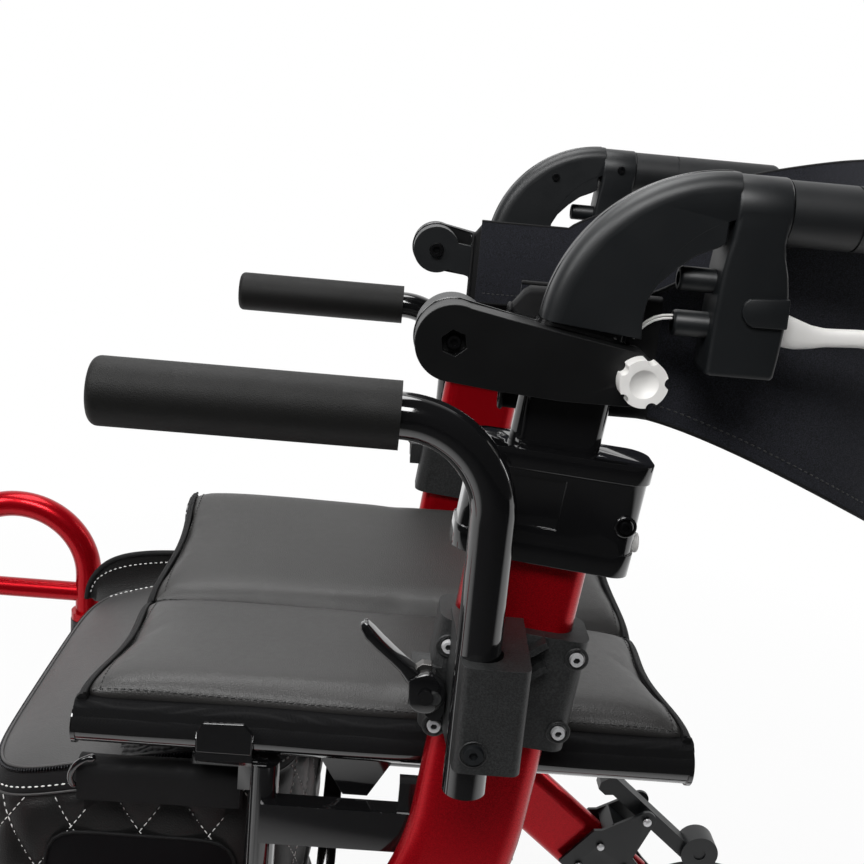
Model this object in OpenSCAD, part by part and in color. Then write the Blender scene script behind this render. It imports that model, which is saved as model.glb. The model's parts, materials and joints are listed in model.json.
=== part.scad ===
// Rollator that doubles as a transport chair. It folds sideways on a crossed brace.
// +X is the way the sitter faces, +Y the sitter's left, +Z up, and the floor is Z = 0.
// Every paired piece is drawn once, for the left side, and mirrored for the right.

/* [Overall] */
// Height of the seat rail centres above the floor
seat_z = 568; // [560:1:576]
// Half the spacing of the two seat rails
rail_half = 196; // [192:1:198]
// How far each side frame stands outside its seat rail
post_out = 32; // [30:1:38]
// Shift that puts the middle of the whole length at X = 0
x_off = -15; // [-30:1:0]

/* [Side frame] */
// Width of the flat-oval frame tube
post_w = 72; // [68:1:74]
// Thickness of the flat-oval frame tube
post_t = 26; // [25:0.5:27]
// Backward lean of the upright in degrees
post_lean = 6; // [5:0.5:7]
// Centre-line radius of the bend below the seat
bend_r = 200; // [190:5:210]
// Distance of the caster stem ahead of the frame's datum
caster_x = 205; // [198:1:212]

/* [Wheels] */
// Diameter of the front caster wheels
front_d = 250; // [240:2:250]
// Width of the front tyres
front_t = 34; // [30:1:36]
// How far the front wheels trail behind their stems
trail = 45; // [40:1:50]
// Diameter of the rear wheels
rear_d = 200; // [196:2:202]
// Width of the rear tyres
rear_t = 30; // [26:1:32]
// Position of the rear axles, behind the datum
rear_x = -388; // [-396:1:-380]

/* [Armrest] */
// How far each armrest tube stands outside its side frame
arm_out = 53; // [51:1:58]
// Height of the left armrest's centre line
arm_z = 809; // [800:1:820]
// How much lower the right armrest is set
arm_drop = 31; // [0:1:40]
// Diameter of the armrest tubes
arm_d = 25.4; // [22:0.2:26]
// Outer diameter of the foam pads
foam_d = 37; // [34:0.5:40]

/* [Handle] */
// Height of the handgrip centre line
grip_z = 928; // [924:1:936]
// Diameter of the handgrips
grip_d = 36; // [32:0.5:37]
// Length of the handgrips
grip_len = 136; // [110:2:146]

/* [Back support] */
// Height of the band's ends
band_end = 74; // [70:1:78]
// How far the band's upper edge rises towards its middle
band_rise = 87; // [60:1:90]
// How far the band's lower edge drops towards its middle
band_drop = 98; // [70:1:105]
// How far the band sags behind its arms
band_sag = 232; // [200:4:250]

/* [Footrest] */
// Diameter of the hanger tubes
hang_d = 25; // [22:0.5:25.4]
// Width of the footplates, measured across the chair
plate_w = 142; // [120:2:150]
// Length of the footplates, measured along the chair
plate_l = 140; // [130:2:144]

/* [Hidden] */
$fn = 48;
red = [0.60, 0.02, 0.06];
gloss = [0.03, 0.03, 0.035];
satin = [0.09, 0.09, 0.10];
nylon = [0.15, 0.15, 0.16];
ivory = [0.93, 0.91, 0.88];
vinyl = [0.17, 0.16, 0.16];
cloth = [0.07, 0.07, 0.10];
rubber = [0.10, 0.10, 0.10];
steel = [0.62, 0.63, 0.65];

post_y = rail_half + post_out;
arm_y = post_y + arm_out;
rail_d = 25.4;
rail_x0 = -214;
rail_x1 = 180;
// upright axis and the bend below it
post_ref = seat_z + 29;
bend_z = seat_z - 26;
function post_x(z) = -78 - tan(post_lean) * (z - post_ref);
bend_cx = post_x(bend_z) + bend_r * cos(post_lean);
bend_cz = bend_z + bend_r * sin(post_lean);
head_z = 305;
head_dx = caster_x - bend_cx;
head_dz = head_z - bend_cz;
head_r = sqrt(head_dx * head_dx + head_dz * head_dz);
bend_end = atan2(head_dz, head_dx) + acos(-bend_r / head_r);
low_len = sqrt(head_r * head_r - bend_r * bend_r);
low_x = bend_cx - bend_r * cos(bend_end);
low_z = bend_cz - bend_r * sin(bend_end);
head_z0 = front_d / 2 + 148;
head_z1 = 372;
// rear leg, from the axle up to the bend
rear_r = rear_d / 2;
join_x = bend_cx - bend_r * cos(46.5);
join_z = bend_cz - bend_r * sin(46.5);
leg_w = post_w - 8;
leg_ang = atan2(join_z - rear_r, join_x - rear_x);
leg_len = sqrt(pow(join_x - rear_x, 2) + pow(join_z - rear_r, 2));
leg_start = rear_r + 14;
// crossed brace
low_rail_d = 22;
low_half = rail_half - 6;
low_rail_z = 330;
brace_ang = atan2(seat_z - low_rail_z, rail_half + low_half);
brace_low = low_half / cos(brace_ang);
brace_up = rail_half / cos(brace_ang);
cross_z = low_rail_z + brace_low * sin(brace_ang);
// handle, back support and armrest
inner_w = 53;
inner_t = 19;
elbow_x = -180;
elbow_z = grip_z - 79.7;
elbow_cut = grip_z - 71;
back_x = -33.5;
back_z = grip_z - 84;
knob_x = -137;
knob_z = grip_z - 95;
// share of the room between the seat and the back bracket, 1 at the standing sizes
clamp_z = seat_z + 36;
room = (grip_z - 127 - clamp_z) / 197;
collar_z = clamp_z + 153 * room;
post_top = collar_z + 13 * room;
press_z = collar_z - 27 * room;
press_x = post_x(press_z);
arm_x = -62;
arm_bend = 54;
arm_low = seat_z + 17;
lug_x = -36;
lug_z = clamp_z + 35 * room;
// bar that the bag's sleeve slides on
bag_bar_y = rail_half - 18;
bag_bar_z = seat_z - 44;
bag_bar_d = 14;
bag_bar_x1 = 180;
// footrest hanger
hang_x = 285;
hoop_r = 70;
hoop_z = 486;
hinge_y = post_y - 23;
hinge_z = 196;
plate_x0 = 378;
// brake arm, in the rear leg's own directions
brake_a = 165;
brake_n = 75;
shoe_r = 20;
shoe_a = 88;
shoe_n = sqrt(pow(rear_r + shoe_r + 2.2, 2) - shoe_a * shoe_a);

// A straight round bar along each axis
module bar_x(x0, x1, y, z, d) {
  translate([x0, y, z]) rotate([0, 90, 0]) cylinder(h = x1 - x0, d = d);
}
module bar_y(x, y0, y1, z, d) {
  translate([x, y1, z]) rotate([90, 0, 0]) cylinder(h = y1 - y0, d = d);
}
module bar_z(x, y, z0, z1, d) {
  translate([x, y, z0]) cylinder(h = z1 - z0, d = d);
}
module box(x0, x1, y0, y1, z0, z1) {
  translate([x0, y0, z0]) cube([x1 - x0, y1 - y0, z1 - z0]);
}
// An outline drawn in the X-Z plane, made solid from y0 to y1
module slab_y(y0, y1) {
  translate([0, y1, 0]) rotate([90, 0, 0]) linear_extrude(y1 - y0) children();
}
module oval(w, t) {
  square([w - t, t], center = true);
  translate([(w - t) / 2, 0]) circle(d = t);
  translate([(t - w) / 2, 0]) circle(d = t);
}
module round_rect(w, t, r) {
  square([w - 2 * r, t], center = true);
  square([w, t - 2 * r], center = true);
  for (sx = [-1, 1], sy = [-1, 1]) {
    translate([sx * (w / 2 - r), sy * (t / 2 - r)]) circle(r = r);
  }
}
// Places a shape on the upright's axis at height z, with Z along the axis
module on_post(z) {
  translate([post_x(z), post_y, z]) rotate([0, -post_lean, 0]) children();
}
// Places a shape at the rear axle, with X up along the leg and Z square to it
module on_leg() {
  translate([rear_x, post_y, rear_r]) rotate([0, -leg_ang, 0]) children();
}
// A bent round tube: a quarter or half turn in the X-Z plane
module bend_xz(cx, y, cz, r, d, a0, turn) {
  translate([cx, y, cz]) rotate([90, 0, 0]) rotate([0, 0, a0])
    rotate_extrude(angle = turn) translate([r, 0]) circle(d = d);
}

// Welded side frame: upright, bend, front leg, caster head and rear leg
module frame() {
  color(red) difference() {
    union() {
      on_post(bend_z - 3) linear_extrude((post_top - bend_z + 3) / cos(post_lean)) oval(post_w, post_t);
      translate([bend_cx, post_y, bend_cz]) rotate([90, 0, 0]) rotate([0, 0, 180 + post_lean])
        rotate_extrude(angle = bend_end - post_lean) translate([bend_r, 0]) oval(post_w - 0.3, post_t - 0.3);
      translate([low_x, post_y, low_z]) rotate([0, 180 - bend_end, 0])
        translate([0, 0, -3]) linear_extrude(low_len - 13) oval(post_w, post_t);
      bar_z(caster_x, post_y, head_z0, head_z1, 46);
      on_leg() translate([leg_start, 0, 0]) rotate([0, 90, 0])
        linear_extrude(leg_len - leg_start) oval(leg_w, post_t - 1);
    }
    on_post(bend_z + 12) linear_extrude(400) oval(post_w - 5, post_t - 5);
    bar_z(caster_x, post_y, head_z0 - 60, head_z1 + 60, 20.2);
  }
}

// Black inner frame: lower pivot rail, stanchion, side bar and the two rail saddles
module saddle(x0, x1) {
  difference() {
    union() {
      slab_x(x0 + 3, x1 - 3) saddle_outline();
      box(x0, x1, rail_half - 9, rail_half + 9, seat_z - 20.5, seat_z - 14);
    }
    bar_x(x0 - 1, x1 + 1, rail_half, seat_z, rail_d + 4);
  }
}
// An outline drawn in the Y-Z plane, made solid from x0 to x1
module slab_x(x0, x1) {
  translate([x0, 0, 0]) rotate([90, 0, 90]) linear_extrude(x1 - x0) children();
}
module saddle_outline() {
  polygon([[rail_half - 15, seat_z - 10], [rail_half - 10, seat_z - 19],
    [rail_half + 10, seat_z - 19], [rail_half + 17.6, seat_z - 12],
    [rail_half + 17.6, seat_z + 3], [rail_half + 14.6, seat_z + 6],
    [rail_half + 14.6, seat_z - 10]]);
}
module inner_frame() {
  in_y = post_y - post_t / 2 - 0.1;
  color(gloss) union() {
    bar_x(-132, 78, low_half, low_rail_z, low_rail_d);
    bar_z(60, in_y - 15, low_rail_z, seat_z - 17, 20);
    box(-106, 60, in_y - 14, in_y, seat_z - 68.5, seat_z - 40);
    box(-41, -28, in_y - 13, in_y - 2, seat_z - 44, seat_z - 19);
    box(-140, -112, low_half, in_y, low_rail_z - 13, low_rail_z + 13);
    saddle(64, 106);
    saddle(-106, -64);
    box(58, 76, in_y - 24, in_y - 9, seat_z - 36, seat_z - 15.6);
    box(-102, -68, in_y - 12, in_y - 1, seat_z - 44, seat_z - 13);
    bar_x(60, bag_bar_x1, bag_bar_y, bag_bar_z, bag_bar_d);
    bar_y(60, bag_bar_y, in_y - 15, bag_bar_z, bag_bar_d);
  }
}

// Socket clamped on the caster head that the footrest hanger lifts out of
module socket() {
  color(satin) difference() {
    union() {
      bar_z(caster_x, post_y, head_z1 - 10.5, head_z1 - 0.5, 62);
      bar_z(hang_x, post_y, 345, 440, hang_d + 9);
      slab_y(post_y - 6, post_y + 6) polygon([[caster_x + 26, head_z1 - 10.5],
        [hang_x - 14, 346], [hang_x - 14, 432], [hang_x - 22, 432], [caster_x + 26, head_z1 - 0.5]]);
    }
    bar_z(caster_x, post_y, 300, 400, 46.1);
    bar_z(hang_x, post_y, 340, 450, hang_d + 0.2);
  }
}

// Die-cast collar that clamps the sliding handle post
module collar() {
  f = room;
  color(gloss) difference() {
    on_post(collar_z) difference() {
      translate([-5, 0.75, 0]) union() {
        translate([0, 0, -38 * f]) linear_extrude(14 * f) round_rect(106, 40.5, 13);
        translate([0, 0, -26 * f]) linear_extrude(52 * f) round_rect(103, 38, 12);
        translate([0, 0, 23 * f]) linear_extrude(15 * f) round_rect(106, 40.5, 13);
      }
      translate([-9, 18.2, -16 * f]) cube([38, 6, 34 * f]);
      translate([0, 0, -22 - 38 * f]) linear_extrude(22.2 + 51 * f) oval(post_w + 0.2, post_t + 0.2);
      linear_extrude(42 + 38 * f) oval(inner_w + 0.2, inner_t + 0.2);
    }
    bar_x(press_x - 108, press_x - 48, post_y, press_z, 12.2);
  }
}
// Release button in the collar's rear face
module button() {
  color(ivory) bar_x(press_x - 65, press_x - 55, post_y, press_z, 12);
}

// Flat-oval post that slides in the upright
module handle_post() {
  color(gloss) on_post(seat_z + 72)
    linear_extrude((elbow_cut - 0.1 - seat_z - 72) / cos(post_lean)) oval(inner_w, inner_t);
}

// Quadrant elbow with the bare handle tube
module elbow() {
  color(satin) union() {
    difference() {
      translate([elbow_x, post_y, elbow_z]) rotate([90, 0, 0]) rotate_extrude(angle = 90) {
        translate([36.5, -16]) square([53, 32]);
        translate([36.5, -6]) square([63, 12]);
        for (s = [-1, 1]) {
          translate([89.5, s * 6]) circle(r = 10);
        }
      }
      bar_y(elbow_x - 18, post_y - 30, post_y + 30, elbow_z + 15.5, 124);
      on_post(elbow_cut) translate([-90, -40, -70]) cube([180, 80, 70]);
    }
    bar_x(elbow_x - 28 - grip_len + 8, elbow_x + 6, post_y, grip_z, 22);
  }
}

// Brake housing with two cable barrels and a short bare cable into the elbow
module brake_housing() {
  hx = elbow_x;
  color(satin) difference() {
    union() {
      bar_x(hx - 28.6, hx - 0.6, post_y, grip_z, 38);
      slab_y(post_y - 14, post_y + 14) polygon([[hx - 0.8, grip_z - 8], [hx - 28, grip_z - 8],
        [hx - 28.2, grip_z - 19.5], [hx - 34, grip_z - 45], [hx - 33.6, grip_z - 91.4],
        [hx + 6.2, grip_z - 90.3], [hx + 8.8, grip_z - 20]]);
      bar_x(hx - 8, hx + 24.4, post_y, grip_z - 40.6, 14);
      bar_x(hx - 8, hx + 24.4, post_y, grip_z - 65.5, 15);
      slab_y(post_y + 13, post_y + 17) polygon([[hx - 8, grip_z - 50], [hx - 14, grip_z - 43],
        [hx - 33, grip_z - 47], [hx - 33, grip_z - 68], [hx - 14, grip_z - 66],
        [hx - 8, grip_z - 58]]);
      bar_x(hx + 23, hx + 43.6, post_y, grip_z - 62, 3.4);
    }
    bar_x(hx - 60, hx + 20, post_y, grip_z, 22.1);
    box(hx - 60, hx - 14, post_y - 7, post_y + 7, grip_z - 83, grip_z - 44);
  }
  color(satin) bar_y(hx - 26, post_y - 10, post_y + 10, grip_z - 64, 6);
}

// Rubber handgrip with a seam ring and a rounded end
module grip() {
  gx = elbow_x - 29;
  color(rubber) difference() {
    union() {
      bar_x(gx - 38, gx, post_y, grip_z, grip_d);
      bar_x(gx - 39.4, gx - 38, post_y, grip_z, grip_d - 2);
      bar_x(gx - grip_len + 8, gx - 39.4, post_y, grip_z, grip_d);
      translate([gx - grip_len + 8, post_y, grip_z]) rotate([0, -90, 0]) rotate_extrude() {
        square([grip_d / 2 - 8, 8]);
        intersection() {
          translate([grip_d / 2 - 8, 0]) circle(r = 8);
          square([grip_d / 2, 8]);
        }
      }
    }
    bar_x(gx - grip_len + 8.8, gx + 5, post_y, grip_z, 22.1);
  }
}

// Loop brake lever that swings up to the grip
module brake_lever() {
  lx = elbow_x - 26;
  lz = grip_z - 64;
  color(ivory) difference() {
    slab_y(post_y - 6, post_y + 6) union() {
      translate([lx, lz]) circle(r = 9);
      polygon([[lx, lz + 9], [lx - 22, lz + 10], [lx - 36, lz + 6], [lx - 54, lz + 4],
        [lx - 100, lz + 2], [lx - 138, lz - 5], [lx - 146, lz - 12], [lx - 140, lz - 18],
        [lx - 98, lz - 12], [lx - 54, lz - 11], [lx - 36, lz - 12], [lx - 20, lz - 12], [lx, lz - 9]]);
    }
    bar_y(lx, post_y - 20, post_y + 20, lz, 6.2);
  }
}

// Two-layer bracket clamped on the sliding post, with the band's pivot at its front end
module back_bracket() {
  py = post_y;
  bx = back_x;
  bz = back_z;
  color(satin) difference() {
    union() {
      slab_y(py + 1, py + 24) union() {
        translate([bx, bz]) circle(r = 21.5);
        translate([knob_x, knob_z]) circle(r = 9);
        polygon([[bx, bz + 21.5], [bx - 31.5, bz + 15.5], [bx - 105, bz + 3], [bx - 110, bz - 1.5],
          [bx - 103.5, bz - 24], [bx - 99.5, bz - 27], [bx - 61, bz - 27], [bx - 27, bz - 24.5],
          [bx, bz - 21.5]]);
      }
      slab_y(py - 18, py + 2) polygon([[bx - 31, bz + 14], [bx - 104.4, bz + 1.5], [bx - 108, bz - 2],
        [bx - 102, bz - 23], [bx - 99, bz - 25.6], [bx - 61.2, bz - 25.6], [bx - 31, bz - 23.2]]);
      bar_y(bx, py - 26, py + 10, bz, 10);
    }
    on_post(bz - 60) linear_extrude(140) oval(inner_w + 0.2, inner_t + 0.2);
    bar_y(knob_x, py + 8, py + 40, knob_z, 6.2);
  }
}
// Thumb knob with five notches
module knob() {
  ky = post_y + 24.4;
  color(ivory) union() {
    difference() {
      bar_y(knob_x, ky, ky + 12, knob_z, 29);
      for (i = [0 : 4]) {
        translate([knob_x + 15.5 * cos(72 * i + 30), ky + 14, knob_z + 15.5 * sin(72 * i + 30)])
          rotate([90, 0, 0]) cylinder(h = 16, d = 7);
      }
      translate([knob_x, ky + 21, knob_z]) sphere(r = 12.5);
    }
    bar_y(knob_x, ky - 12, ky + 1, knob_z, 6);
  }
}
// Arm that carries the band and swings it over from one side of the seat to the other
module back_arm() {
  py = post_y - 19;
  color(satin) difference() {
    union() {
      bar_y(back_x, py - 8, py + 19.7, back_z, 42);
      slab_y(py - 8, py - 1) polygon([[back_x, back_z + 10], [-64, back_z + 6],
        [-72, band_z + band_end / 2 - 5], [-150, band_z + band_end / 2 - 5],
        [-150, band_z - band_end / 2 + 5], [-72, band_z - band_end / 2 + 5],
        [-64, back_z - 22], [back_x, back_z - 14]]);
    }
    bar_y(back_x, py - 20, py + 30, back_z, 10.2);
  }
}

// Bent armrest tube and its closed foam pad
module arm_tube() {
  color(gloss) union() {
    bar_z(arm_x, arm_y, arm_low, arm_z - arm_bend, arm_d);
    bend_xz(arm_x + arm_bend, arm_y, arm_z - arm_bend, arm_bend, arm_d, 90, 90);
    bar_x(arm_x + arm_bend, 150, arm_y, arm_z, arm_d);
  }
}
module arm_foam() {
  color(rubber) difference() {
    union() {
      bar_x(-7.5, 149, arm_y, arm_z, foam_d);
      translate([149, arm_y, arm_z]) rotate([0, 90, 0]) rotate_extrude() {
        square([foam_d / 2 - 5, 5]);
        intersection() {
          translate([foam_d / 2 - 5, 0]) circle(r = 5);
          square([foam_d / 2, 5]);
        }
      }
    }
    bar_x(-20, 150.1, arm_y, arm_z, arm_d + 0.1);
  }
}
// Nylon bracket: a clamp round the upright and a block that holds the armrest tube
module arm_bracket() {
  bz = clamp_z;
  f = room;
  color(nylon) difference() {
    union() {
      on_post(bz) translate([0, 1.5, 0]) linear_extrude(73 * f) round_rect(90, post_t + 14, 10);
      translate([-69.2, (arm_y + post_y) / 2 + 10, bz + 9 * f]) linear_extrude(69 * f)
        round_rect(42.6, arm_y - post_y + 22, 6);
      box(lug_x - 10, lug_x + 9, post_y + 2, post_y + 21, lug_z - 9, lug_z + 11);
      bar_y(lug_x, post_y + 15, post_y + 39, lug_z, 8);
      for (i = [0, 1]) {
        translate([-105 - i, post_y + 15, bz + (68 - 15 * i) * f]) rotate([0, 36, 0]) cube([21, 15, 4]);
      }
    }
    on_post(bz - 10) linear_extrude(47 + 73 * f) oval(post_w + 0.2, post_t + 0.2);
    bar_z(arm_x, arm_y, bz - 20, bz + 22 + 78 * f, arm_d + 0.2);
  }
}
// Cam lever that locks the armrest clamp
module cam_lever() {
  y0 = post_y + 21.8;
  color(gloss) difference() {
    union() {
      bar_y(lug_x, y0, y0 + 15, lug_z, 22);
      slab_y(y0 + 2, y0 + 14) polygon([[lug_x - 7, lug_z + 8], [lug_x + 8, lug_z - 7],
        [lug_x + 13, lug_z + 5], [lug_x + 24, lug_z + 18], [lug_x + 38, lug_z + 35],
        [lug_x + 40, lug_z + 41], [lug_x + 37, lug_z + 45], [lug_x + 31, lug_z + 43],
        [lug_x + 14, lug_z + 25], [lug_x + 4, lug_z + 17]]);
    }
    bar_y(lug_x, y0 - 5, y0 + 25, lug_z, 8.2);
  }
}

// Swivel fork with its stem and axle
module fork() {
  wx = caster_x - trail;
  wz = front_d / 2;
  ft = front_d + 6;
  cz = head_z0 - 0.4;
  g = front_t / 2 + 6;
  color(gloss) union() {
    bar_z(caster_x, post_y, cz - 6, head_z1 + 6, 20);
    bar_z(caster_x, post_y, head_z1 + 0.4, head_z1 + 8, 30);
    box(wx - 12, caster_x + 23, post_y - g - 6, post_y + g + 6, ft, cz);
    for (s = [-1, 1]) {
      slab_y(post_y + s * (g + 3) - 3, post_y + s * (g + 3) + 3) union() {
        polygon([[wx - 12, cz], [caster_x + 23, cz], [caster_x + 20, ft - 6], [wx + 16, wz],
          [wx - 16, wz], [wx - 14, ft - 20]]);
        translate([wx, wz]) circle(r = 17);
      }
    }
    bar_y(wx, post_y - g - 9, post_y + g + 9, wz, 12);
    for (s = [-1, 1]) {
      bar_y(wx, post_y + s * (g - 1.3) - 1.5, post_y + s * (g - 1.3) + 1.5, wz, 19);
    }
  }
}
// Spoked wheel body with a channel rim, and the tyre pressed on it
module wheel_body(x, z, r, w, hub_w) {
  color(satin) translate([x, post_y, z]) rotate([90, 0, 0]) difference() {
    union() {
      difference() {
        cylinder(h = w, r = r, center = true);
        cylinder(h = w + 2, r = r - 9, center = true);
      }
      cylinder(h = hub_w, r = 20, center = true);
      cylinder(h = 8, r = 32, center = true);
      for (i = [0 : 5]) {
        rotate([0, 0, 60 * i]) translate([18, -6, -6]) cube([r - 25, 12, 12]);
      }
    }
    cylinder(h = hub_w + 4, d = 12.2, center = true);
  }
}
module tyre(x, z, r_in, r_out, w) {
  color(rubber) translate([x, post_y, z]) rotate([90, 0, 0]) rotate_extrude() {
    translate([r_in, -w / 2 + 2]) square([r_out - r_in - w / 2 + 6, w - 4]);
    translate([r_out - 10, -w / 2 + 10]) square([10, w - 20]);
    translate([r_in + 4, -w / 2]) square([r_out - r_in - 14, w]);
    for (s = [-1, 1]) {
      translate([r_out - 10, s * (w / 2 - 10)]) circle(r = 10);
    }
  }
}
module front_wheel() {
  wheel_body(caster_x - trail, front_d / 2, front_d / 2 - 24.05, front_t - 4, front_t + 6);
}
module front_tyre() {
  tyre(caster_x - trail, front_d / 2, front_d / 2 - 24, front_d / 2, front_t);
}
module rear_wheel() {
  wheel_body(rear_x, rear_r, rear_r - 22.05, rear_t - 4, 33);
}
module rear_tyre() {
  tyre(rear_x, rear_r, rear_r - 22, rear_r, rear_t);
}

// Riveted plates that carry the rear axle and the brake arm's pivot
module rear_fork() {
  color(satin) on_leg() union() {
    for (s = [-1, 1]) {
      slab_y(s * 20 - 2, s * 20 + 2) union() {
        circle(r = 17);
        polygon([[-4, -17], [-4, 16.5], [108, 28], [142, 34], [155, 75], [175, 75], [190, 34],
          [196, 28], [196, -24], [108, -24]]);
        translate([brake_a, brake_n]) circle(r = 10);
      }
      pad_y = s * (post_t / 4 + 9.05);
      pad_half = 9 - post_t / 4;
      box(120, 190, pad_y - pad_half, pad_y + pad_half, -22, 26);
      for (p = [[178, 20], [178, -12], [140, 20], [140, -14]]) {
        bar_y(p[0], s * 23 - 1.5, s * 23 + 1.5, p[1], 8);
      }
    }
    box(150, 186, -19, 19, leg_w / 2 + 0.05, leg_w / 2 + 15);
    bar_y(brake_a, -25, 25, brake_n, 8);
    bar_y(0, -27, 27, 0, 12);
  }
}
// Brake arm with a ribbed shoe over the tyre
module brake_arm() {
  color(gloss) on_leg() difference() {
    union() {
      slab_y(-9, 9) polygon([[98, 67], [206, 67], [212, 61], [222, 61], [226, 68], [222, 83],
        [98, 83], [84, 92], [84, 78]]);
      bar_y(shoe_a, -13, 13, shoe_n, 2 * shoe_r);
    }
    bar_y(brake_a, -30, 30, brake_n, 8.2);
    for (s = [-1, 1]) {
      bar_y(shoe_a, s * 13 - 1.5, s * 13 + 1.5, shoe_n, 13);
    }
  }
}

// Footrest hanger: a hoop whose rear leg drops into the socket
module hanger() {
  fx = hang_x + 2 * hoop_r;
  color(red) difference() {
    union() {
      bar_z(hang_x, post_y, 346, hoop_z, hang_d);
      bar_z(hang_x, post_y, 440.3, 448, hang_d + 8);
      bend_xz(hang_x + hoop_r, post_y, hoop_z, hoop_r, hang_d, 0, 180);
      bar_z(fx, post_y, 182, hoop_z, hang_d);
      bar_x(hang_x, fx, post_y, 467, 19);
      box(fx - 14, fx + 14, hinge_y - 5, post_y, hinge_z - 10, hinge_z + 10);
      bar_x(fx - 40, fx + 40, hinge_y, hinge_z, 12);
    }
  }
}
// Footplate on its hinge rod, folded up at rest
module footplate() {
  fx = hang_x + 2 * hoop_r;
  color(satin) difference() {
    union() {
      for (s = [-1, 1]) {
        bar_x(fx + s * 27 - 12.6, fx + s * 27 + 12.6, hinge_y, hinge_z, 20);
        box(fx + s * 27 - 12.6, fx + s * 27 + 12.6, hinge_y - 5, hinge_y + 3, hinge_z, hinge_z + 16);
      }
      box(plate_x0, plate_x0 + plate_l, hinge_y - 5, hinge_y + 3, hinge_z + 13, hinge_z + plate_w);
      for (i = [0 : 6]) {
        box(plate_x0 + 8 + 18.4 * i, plate_x0 + 14 + 18.4 * i, hinge_y + 2, hinge_y + 5,
          hinge_z + 24, hinge_z + plate_w - 10);
      }
    }
    bar_x(fx - 60, fx + 60, hinge_y, hinge_z, 12.2);
  }
}

// Crossed brace: each bar turns on one lower rail and carries the opposite seat rail
module brace(x0, pin) {
  color(gloss) difference() {
    union() {
      translate([0, low_half, low_rail_z]) rotate([brace_ang, 0, 180]) {
        translate([-x0 - 14, 12, -13]) cube([14, brace_low + brace_up - 22, 26]);
      }
      bar_x(x0 - 18, x0 + 32, low_half, low_rail_z, low_rail_d + 8);
      bar_x(rail_x0, rail_x1, -rail_half, seat_z, rail_d);
      for (e = [rail_x0 - 3, rail_x1]) {
        bar_x(e, e + 3, -rail_half, seat_z, rail_d + 2.6);
      }
      slab_y(-rail_half - 4, -rail_half + 4) polygon([[x0 - 18, seat_z - 8], [x0 + 34, seat_z - 8],
        [x0 + 15, seat_z - 38], [x0 - 1, seat_z - 38]]);
      if (pin) {
        bar_x(x0 - 24, x0 + 8, 0, cross_z, 12);
        bar_x(x0 - 3.7, x0 + 2, 0, cross_z, 30);
        bar_x(x0 - 24.5, x0 - 18.3, 0, cross_z, 22);
        bar_x(x0 + 12, x0 + 20, 0, cross_z, 20);
      }
    }
    bar_x(x0 - 60, x0 + 60, low_half, low_rail_z, low_rail_d + 0.2);
    if (!pin) {
      bar_x(x0 - 40, x0 + 40, 0, cross_z, 12.2);
    }
  }
}

// Padded half of the seat: stations along X, each a closed outline that wraps the rail
seat_nx = 20;
seat_nt = 16;
seat_nw = 9;
function seat_u(i) = i / seat_nx;
function edge_fall(u) = pow(abs(2 * u - 1), 8);
function seat_top(v, u) = seat_z - 9 + 33 * v + 7 * sin(180 * v) * (1 - edge_fall(u))
  - 6 * edge_fall(u) - 4 * pow(1 - v, 10);
function seat_outline(u) = concat(
  [for (j = [0 : seat_nt]) let (v = j / seat_nt) [0.4 + v * (rail_half + 3.6), seat_top(v, u)]],
  [for (j = [1 : seat_nw]) let (a = 66 - 116 * j / seat_nw)
    [rail_half + 14.4 * cos(a), seat_z + 14.4 * sin(a)]],
  [for (j = [0 : seat_nw]) let (a = -50 + 165 * j / seat_nw)
    [rail_half + 12.95 * cos(a), seat_z + 12.95 * sin(a)]],
  [for (j = [1 : seat_nt]) let (v = 0.9 * (1 - j / seat_nt))
    [0.4 + v * (rail_half + 3.6), seat_top(v, u) - 12 - 6 * sin(180 * min(1, v + 0.05)) + 3 * edge_fall(u)]]);
function seat_x(u, y) = rail_x0 + 6 + u * (rail_x1 - rail_x0 - 12)
  + (u - 0.5) * -14 * pow(sin(180 * min(1, max(0, y / rail_half))), 2) * edge_fall(u);
seat_n = 2 * seat_nt + 2 * seat_nw + 2;
module seat_half() {
  points = [for (i = [0 : seat_nx]) let (u = seat_u(i)) for (p = seat_outline(u))
    [seat_x(u, p[0]), p[0], p[1]]];
  sides = [for (i = [0 : seat_nx - 1], j = [0 : seat_n - 1], t = [0, 1])
    let (a = i * seat_n + j, b = i * seat_n + (j + 1) % seat_n)
    t == 0 ? [a, b, b + seat_n] : [a, b + seat_n, a + seat_n]];
  ends = [for (e = [0, seat_nx * seat_n], i = [0 : seat_nt + seat_nw - 1], t = [0, 1])
    let (a = e + i, d = e + seat_n - 1 - i,
      f = t == 0 ? [a, a + 1, d - 1] : [a, d - 1, d])
    e > 0 ? f : [f[2], f[1], f[0]]];
  color(vinyl) polyhedron(points = points, faces = concat(sides, ends), convexity = 6);
}

// Zipped bag under the front of the seat: rings from its floor to its lid
bag_n = 32;
bag_m = 10;
bag_cx = 151;
bag_len = 113;
bag_half = rail_half - 28;
bag_low = seat_z - 300;
bag_top = seat_z - 68;
bag_climb = 30;
function bag_rise(x) = bag_climb * min(1, max(0, (bag_cx + 93 - x) / 128));
function bag_ring(k) = let (h = k / bag_m, out = 1 - 0.13 * pow(1 - h, 3) - 0.12 * pow(h, 9))
  [for (i = [0 : bag_n - 1]) let (a = 360 * i / bag_n, c = cos(a), s = sin(a),
      q = pow(pow(abs(c), 5) + pow(abs(s), 5), -0.2))
    let (x = bag_cx + bag_len * out * q * c + 6 * sin(180 * h) * c)
    [x, bag_half * out * q * s,
      bag_low + (bag_top - bag_low + bag_rise(x)) * h - 10 * pow(h, 4) * pow(q * s * 0.9, 2)
        - 6 * (1 - h) * (1 - pow(s * c, 2))]];
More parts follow.
